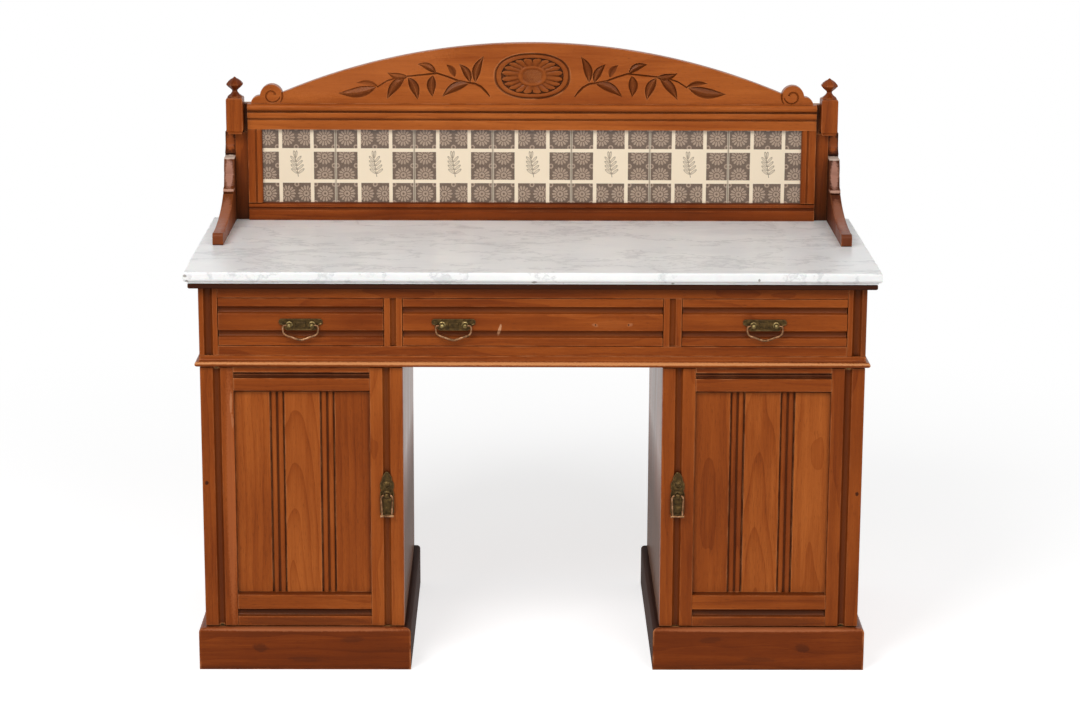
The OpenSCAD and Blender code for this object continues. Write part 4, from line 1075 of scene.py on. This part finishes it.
skin = 0.00002
cut_deep = 0.0034
cut_dirt_and_shade = 0.75
ear_from = 0.478
ear_dirt_and_shade = 0.35
# The cuts are painted dark by depth, for old polish and for their shade, and less so on the ears.
carved = bmesh.new()
carved.from_mesh(pediment.data)
darken_hollows(carved, (pediment_face + door_face) / 1000 + skin, cut_deep, cut_dirt_and_shade)
sunk = carved.loops.layers.float.get("sunk")
for face in carved.faces:
    if abs(face.calc_center_median().x) > ear_from:
        for corner in face.loops:
            corner[sunk] *= ear_dirt_and_shade
carved.to_mesh(pediment.data)
carved.free()
pediment.data.set_sharp_from_angle(angle=math.radians(22))

# Tiles
# Seven glazed earthenware tiles, six inches square, with a printed pattern of daisies and a cream lattice
# under a clear glaze. They are bedded in plaster and held by the frame's rebates.
tile_count = 7
tile_side = 152.4
tile_joint = 0.6
tile_foot = 781.2
tile_thick = 8
tile_pitch = tile_side + tile_joint
daisy_pitch = 0.0367
daisy_rays = 14.0
lattice_half = 0.0306
strip_half = 0.0034
sprig_leaves = ((-0.016, 52), (-0.0085, 50), (-0.001, 46), (0.0065, 40), (0.0135, 10))
sprig_slope = 0.15
sprig_high = 0.022
leaf_out = 0.0085
umber = rgb(54, 38, 28)
umber_light = rgb(134, 108, 86)
daisy_dark = rgb(120, 96, 76)
daisy_pale = rgb(198, 172, 148)
cream = rgb(240, 222, 194)
sprig_ink = rgb(96, 78, 62)
tile_edge = rgb(206, 190, 168)


def near(tree, value, place, reach):
    """1 where a value is within a reach of a place, and 0 elsewhere."""
    return calc(tree, "LESS_THAN", calc(tree, "ABSOLUTE", calc(tree, "SUBTRACT", value, place)), reach)


def repeated(tree, value, pitch):
    """A value counted from the middle of each repeat, from -0.5 to 0.5."""
    return calc(tree, "SUBTRACT", calc(tree, "FRACT", calc(tree, "DIVIDE", value, pitch)), 0.5)


def daisies(tree, x, z):
    """1 on the petals and eyes of daisies set in rows and on the buds between them, and 0 on the ground."""
    across, up = repeated(tree, x, daisy_pitch), repeated(tree, z, daisy_pitch)
    far = length(tree, node(tree, "CombineXYZ", {0: across, 1: up}).outputs[0])
    rays = calc(tree, "COSINE", calc(tree, "MULTIPLY", calc(tree, "ARCTAN2", up, across), daisy_rays))
    tips = calc(tree, "MULTIPLY_ADD", rays, 0.045, 0.4)
    daisy = calc(tree, "MULTIPLY", calc(tree, "LESS_THAN", far, tips), calc(tree, "GREATER_THAN", far, 0.2))
    daisy = calc(tree, "MULTIPLY", daisy, calc(tree, "GREATER_THAN", rays, -0.55))
    corner = [calc(tree, "SUBTRACT", calc(tree, "ABSOLUTE", way), 0.5) for way in (across, up)]
    bud_far = length(tree, node(tree, "CombineXYZ", {0: corner[0], 1: corner[1]}).outputs[0])
    flowers = calc(tree, "MAXIMUM", daisy, near(tree, far, 0.11, 0.05))
    return calc(tree, "MAXIMUM", flowers, near(tree, bud_far, 0.1, 0.035))


def leafy_sprig(tree, x, z):
    """Up to 1 on a thin leaning stem and its pairs of small veined leaves."""
    flat = node(tree, "CombineXYZ", {0: x, 1: z}).outputs[0]
    sprig = near(tree, x, calc(tree, "MULTIPLY", z, -sprig_slope), 0.0007)
    sprig = calc(tree, "MULTIPLY", sprig, calc(tree, "LESS_THAN", calc(tree, "ABSOLUTE", z), sprig_high))
    for along, lean in sprig_leaves:
        for hand in (-1, 1):
            turn = math.radians(lean) * hand
            place = (-sprig_slope * along + leaf_out * math.sin(turn), along + leaf_out * math.cos(turn), 0)
            size = length(tree, laid(tree, flat, place, (0, 0, -turn), (0.0026, 0.0078, 1), "TEXTURE"))
            inked = calc(tree, "MULTIPLY_ADD", calc(tree, "GREATER_THAN", size, 0.7), 0.5, 0.35)
            inked = calc(tree, "MULTIPLY", inked, calc(tree, "LESS_THAN", size, 1.0))
            sprig = calc(tree, "MAXIMUM", sprig, inked)
    return sprig


def printed_tile():
    """Umber ground with pale daisies, cream strips in a lattice, and a leafy sprig on a cream square."""
    material, tree = started("printed_tile")
    pitch = tile_pitch / 1000
    here = in_metres(tree)
    parts = node(tree, "SeparateXYZ", {0: here}).outputs
    x = calc(tree, "ADD", parts["X"], tile_count / 2 * pitch)
    x = calc(tree, "MULTIPLY", calc(tree, "FRACT", calc(tree, "DIVIDE", x, pitch)), pitch)
    x = calc(tree, "SUBTRACT", x, pitch / 2)
    z = calc(tree, "SUBTRACT", parts["Z"], (tile_foot + tile_side / 2) / 1000)
    reach_x, reach_z = calc(tree, "ABSOLUTE", x), calc(tree, "ABSOLUTE", z)
    mottle = noise(tree, here, 900.0, 2.0)
    ground = blended(tree, mottle, umber, umber_light)
    pale = blended(tree, mottle, daisy_dark, daisy_pale)
    colour = blended(tree, daisies(tree, x, z), ground, pale)
    strips = calc(tree, "MAXIMUM", near(tree, reach_x, lattice_half, strip_half),
                  near(tree, reach_z, lattice_half, strip_half))
    square = calc(tree, "MULTIPLY", calc(tree, "LESS_THAN", reach_x, lattice_half),
                  calc(tree, "LESS_THAN", reach_z, lattice_half))
    colour = blended(tree, calc(tree, "MAXIMUM", strips, square), colour, cream)
    colour = blended(tree, calc(tree, "MULTIPLY", leafy_sprig(tree, x, z), 0.8), colour, sprig_ink)
    edge = calc(tree, "GREATER_THAN", reach_x, 0.0742)
    colour = blended(tree, calc(tree, "MULTIPLY", edge, 0.75), colour, tile_edge)
    waves = relief(tree, noise(tree, here, 45.0, 2.0), 0.15, 0.001)
    return finished(material, {"Base Color": colour, "Roughness": 0.14, "Normal": waves,
                               "Specular IOR Level": 0.45, "Coat Weight": 0.4, "Coat Roughness": 0.06})


glaze = printed_tile()
for i in range(tile_count):
    left = (i - tile_count / 2) * tile_pitch + tile_joint / 2
    tile = box((left, left + tile_side), (tile_face, tile_face + tile_thick),
               (tile_foot, tile_foot + tile_side))
    make(f"tile_{i + 1}", tile, "carcase", glaze, "tiles", 0.7)

# Brass handles
# Stamped and cast brass, gone dark with age and paler where it is handled: a plate with two posts and a
# swinging bail on each drawer, and a long plate with a drop handle on each door. Brass pins hold them from
# behind.
finger_bright = rgb(170, 136, 88)
brass_grime = rgb(30, 22, 12)


def old_brass(name, dark, middle, bright):
    """Brass under a dark olive patina, in three colours, rubbed bright where fingers touch it."""
    material, tree = started(name)
    patches = noise(tree, in_metres(tree), 160.0, 4.0, rough=0.6)
    colour = ramp(tree, patches, [(0.3, rgb(*dark)), (0.55, rgb(*middle)), (0.75, rgb(*bright))])
    colour = blended(tree, rubbing(tree, 0.0008, 0.85, 0.3), colour, finger_bright)
    colour = blended(tree, sheltered(tree, 0.004, 0.7, 0.2), colour, brass_grime)
    rough = between(tree, patches, 0.3, 0.7, 0.5, 0.28)
    return finished(material, {"Base Color": colour, "Roughness": rough, "Metallic": 0.85})


brass = old_brass("old_brass", (44, 32, 14), (72, 54, 25), (104, 80, 42))
handled_brass = old_brass("handled_brass", (78, 52, 30), (140, 100, 68), (190, 146, 112))
knob_brass = old_brass("knob_brass", (72, 60, 32), (118, 100, 60), (164, 146, 98))
dress([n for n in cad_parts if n.endswith("_pivots")] + ["pivot_sockets", "door_catches"], brass, 0.2)
plate_thick = 2.5
knob_from = 0.5 - plate_thick
drop_out = 8.5
post_apart = 20.5
side_handle = 417.5
field_half = (9.5, 4.5)
field_out = 0.8


def rod(points, thickness):
    """A bmesh of a round rod bent through points, with a radius for each point."""
    line = bpy.data.curves.new("rod", "CURVE")
    line.dimensions = "3D"
    line.bevel_depth = 1
    line.bevel_resolution = 3
    line.resolution_u = 5
    line.use_fill_caps = True
    bend = line.splines.new("BEZIER")
    bend.bezier_points.add(len(points) - 1)
    for knot, place, radius in zip(bend.bezier_points, points, thickness):
        knot.co = place
        knot.radius = radius
        knot.handle_left_type = knot.handle_right_type = "AUTO"
    held = bpy.data.objects.new("rod", line)
    bpy.context.scene.collection.objects.link(held)
    bpy.context.view_layer.update()
    solid = bpy.data.meshes.new_from_object(held.evaluated_get(bpy.context.evaluated_depsgraph_get()))
    bpy.data.objects.remove(held)
    bm = bmesh.new()
    bm.from_mesh(solid)
    bpy.data.meshes.remove(solid)
    return bm


def hung(half, place):
    """A rod that hangs before its plate, the same left and right. Its half is (aside, up, radius)."""
    whole = [(-aside, up, radius) for aside, up, radius in reversed(half) if aside > 0] + half
    points = [(place[0] + aside, -drop_out, place[1] + up) for aside, up, radius in whole]
    return rod(points, [radius for aside, up, radius in whole])


def stamped(outline, place):
    """A thin plate with a raised rim, pressed from sheet. Its outline is the right half, from foot to top."""
    half = [(place[0] + x, place[1] + z) for x, z in outline]
    whole = half + [(2 * place[0] - x, z) for x, z in reversed(half) if x - place[0] > 0.01]
    bm = run(whole, "Y", -plate_thick, 0)
    bmesh.ops.recalc_face_normals(bm, faces=bm.faces)
    front = min(bm.faces, key=lambda f: f.calc_center_median().y)
    for thickness, sunk in ((1.3, 0), (0.5, -0.7)):
        bmesh.ops.inset_region(bm, faces=[front], thickness=thickness, depth=sunk, use_even_offset=True,
                               use_boundary=True)
    return bm


def joined(*meshes):
    """Several bmeshes put in one."""
    first = meshes[0]
    for other in meshes[1:]:
        passed = bpy.data.meshes.new("passed")
        other.to_mesh(passed)
        other.free()
        first.from_mesh(passed)
        bpy.data.meshes.remove(passed)
    return first


drawer_plate = ([(0, -10.5), (26, -10.5)] + arc((38.5, -9), 9.6, 172, 96, 5)
                + [(38.8, 1.6), (39.5, 6.5), (36.5, 10.5), (0, 10.5)])
knob = [(0, -1), (6, -1), (6, 0.8), (4.4, 1.5), (3.6, 3), (3.7, 5), (4.5, 6.6), (5, 8.4), (4.6, 10.2),
        (3.3, 11.8), (1.4, 12.7), (0, 12.9)]
bail = [(0, -26.6, 2.3), (7, -25.2, 2.2), (17, -21.4, 2), (27.5, -17.4, 1.9), (30.6, -13.6, 1.9),
        (31.5, -9, 1.8), (31.9, -4.5, 1.8), (30.4, -1, 1.7), (26, 0.1, 1.5), (19.6, 0, 1.3)]
for word, x in (("left", -side_handle), ("centre", -centre_handle), ("right", side_handle)):
    plate_node = word + "_handle_plate"
    posts = [turned(knob, (x + s * post_apart, knob_from, handle_up), "Y", 16) for s in (-1, 1)]
    field = box((x - field_half[0], x + field_half[0]), (-plate_thick - field_out, -plate_thick + 1),
                (handle_up - field_half[1], handle_up + field_half[1]))
    bmesh.ops.bevel(field, geom=field.edges[:], offset=1.4, affect="EDGES", segments=3, profile=0.5,
                    material=-1)
    plate = joined(stamped(drawer_plate, (x, handle_up)), field)
    make(plate_node + "_brass", plate, word + "_drawer", brass, plate_node, 0.35)
    make(word + "_handle_posts_brass", joined(*posts), word + "_drawer", knob_brass, plate_node, 0)
    make(word + "_handle_bail_brass", hung(bail, (x, handle_up)), word + "_bail", handled_brass,
         word + "_handle_bail", 0)

pull = (265, 333)
pull_plate = [(0, -38.5), (9.5, -38.5), (12.5, -33.5), (12.5, 3.5)] + arc((14.7, 8), 4, 230, 130, 4)
pull_plate += [(12.5, 12.5), (12.5, 21.5), (9.6, 26.5), (8.4, 33.5), (3.5, 41.5), (0, 43.5)]
pull_knob = [(radius * 1.2, along) for radius, along in knob]
stud = [(0, -1), (6, -1), (5.8, 0.9), (4.2, 2), (2, 2.8), (0, 3)]
stud_up = 19
drop = [(4, 0, 1.5), (7.8, -0.3, 1.7), (10.1, -4, 1.9), (9.9, -14, 1.8), (9.3, -26, 1.8), (8.8, -38, 2)]
grip = [(0, -39, 2), (10, -39, 2.2), (12, -39, 2.6)]
for word, side in sides:
    plate = joined(stamped(pull_plate, pull), turned(pull_knob, (pull[0], knob_from, pull[1]), "Y", 16),
                   turned(stud, (pull[0], knob_from, pull[1] + stud_up), "Y", 16))
    make(word + "_pull_plate_brass", plate, word + "_door", brass, word + "_pull_plate", 0.35, side)
    make(word + "_pull_drop_brass", joined(hung(drop, pull), hung(grip, pull)), word + "_pull",
         handled_brass, word + "_pull_drop", 0, side)

# Studio
# A white sweep with soft lamps at the front and above, as in a saleroom photograph. The floor keeps the soft
# shadow between and beside the pedestals.
floor_down = 0.0005
floor_half = 60
floor_grey = (0.8, 0.8, 0.8, 1)
paper_white = (1, 1, 1, 1)


def shown(tree):
    """1 for what the camera sees, directly or in gloss and glass, and 0 for what lights the object."""
    rays = node(tree, "LightPath").outputs
    seen = calc(tree, "MAXIMUM", rays["Is Camera Ray"], rays["Is Glossy Ray"])
    return calc(tree, "MAXIMUM", seen, rays["Is Transmission Ray"])


floor_mesh = bpy.data.meshes.new("studio_floor")
sweep = bmesh.new()
bmesh.ops.create_grid(sweep, x_segments=1, y_segments=1, size=floor_half)
bmesh.ops.translate(sweep, vec=(0, 0, -floor_down), verts=sweep.verts)
sweep.to_mesh(floor_mesh)
sweep.free()
floor = bpy.data.objects.new("studio_floor", floor_mesh)
bpy.context.scene.collection.objects.link(floor)
white, tree = started("white_floor")
seen = shown(tree)
fade = node(tree, "MapRange", {"Value": length(tree, in_metres(tree)), "From Min": 0.9, "From Max": 2.6},
            interpolation_type="SMOOTHSTEP").outputs[0]
matt = node(tree, "BsdfDiffuse", {"Color": floor_grey}).outputs[0]
brighter = calc(tree, "MULTIPLY", seen, 0.62)
lift = node(tree, "Emission", {"Color": paper_white, "Strength": brighter}).outputs[0]
near_floor = node(tree, "AddShader", {0: matt, 1: lift}).outputs[0]
far_floor = node(tree, "Emission", {"Color": paper_white, "Strength": 1.0}).outputs[0]
both = node(tree, "MixShader", {0: calc(tree, "MULTIPLY", fade, seen), 1: near_floor, 2: far_floor})
tree.links.new(both.outputs[0], node(tree, "OutputMaterial").inputs[0])
floor_mesh.materials.append(white)

world = bpy.data.worlds.new("studio")
bpy.context.scene.world = world
world.use_nodes = True
tree = world.node_tree
tree.nodes.clear()
level = calc(tree, "MULTIPLY_ADD", shown(tree), 0.75, 0.25)
air = node(tree, "Background", {"Color": paper_white, "Strength": level})
tree.links.new(air.outputs[0], node(tree, "OutputWorld").inputs[0])


def lamp(name, place, aim, size, power):
    """A square soft lamp, turned to its aim."""
    light = bpy.data.lights.new(name, "AREA")
    light.shape = "SQUARE"
    light.size = size
    light.energy = power
    held = bpy.data.objects.new(name, light)
    held.location = place
    held.rotation_euler = (Vector(aim) - Vector(place)).to_track_quat("-Z", "Y").to_euler()
    bpy.context.scene.collection.objects.link(held)


lamp("key", (-1.6, -2.7, 3.3), (0, 0, 0.6), 1.8, 82)
lamp("fill", (1.5, -2.6, 3.1), (0, 0, 0.6), 1.8, 40)
lamp("low", (0.3, -4.2, 1.3), (0, 0, 0.5), 2.0, 16)

# Camera
# Placed, turned and focused as the photograph's was, from its vanishing lines: slightly above the marble and
# a long lens from about five metres.
camera_place = (-0.028, -5.2208, 1.7753)
camera_round = -0.472
camera_down = 13.42
camera_roll = 0.23
camera_data = bpy.data.cameras.new("camera")
camera_data.lens = 94.54
camera_data.sensor_width = 36
camera = bpy.data.objects.new("camera", camera_data)
bpy.context.scene.collection.objects.link(camera)
turn = (Matrix.Rotation(math.radians(camera_round), 4, "Z")
        @ Matrix.Rotation(math.radians(90 - camera_down), 4, "X")
        @ Matrix.Rotation(math.radians(camera_roll), 4, "Z"))
camera.matrix_world = Matrix.Translation(camera_place) @ turn
bpy.context.scene.camera = camera
bpy.context.scene.view_settings.view_transform = "Standard"

bpy.context.view_layer.update()
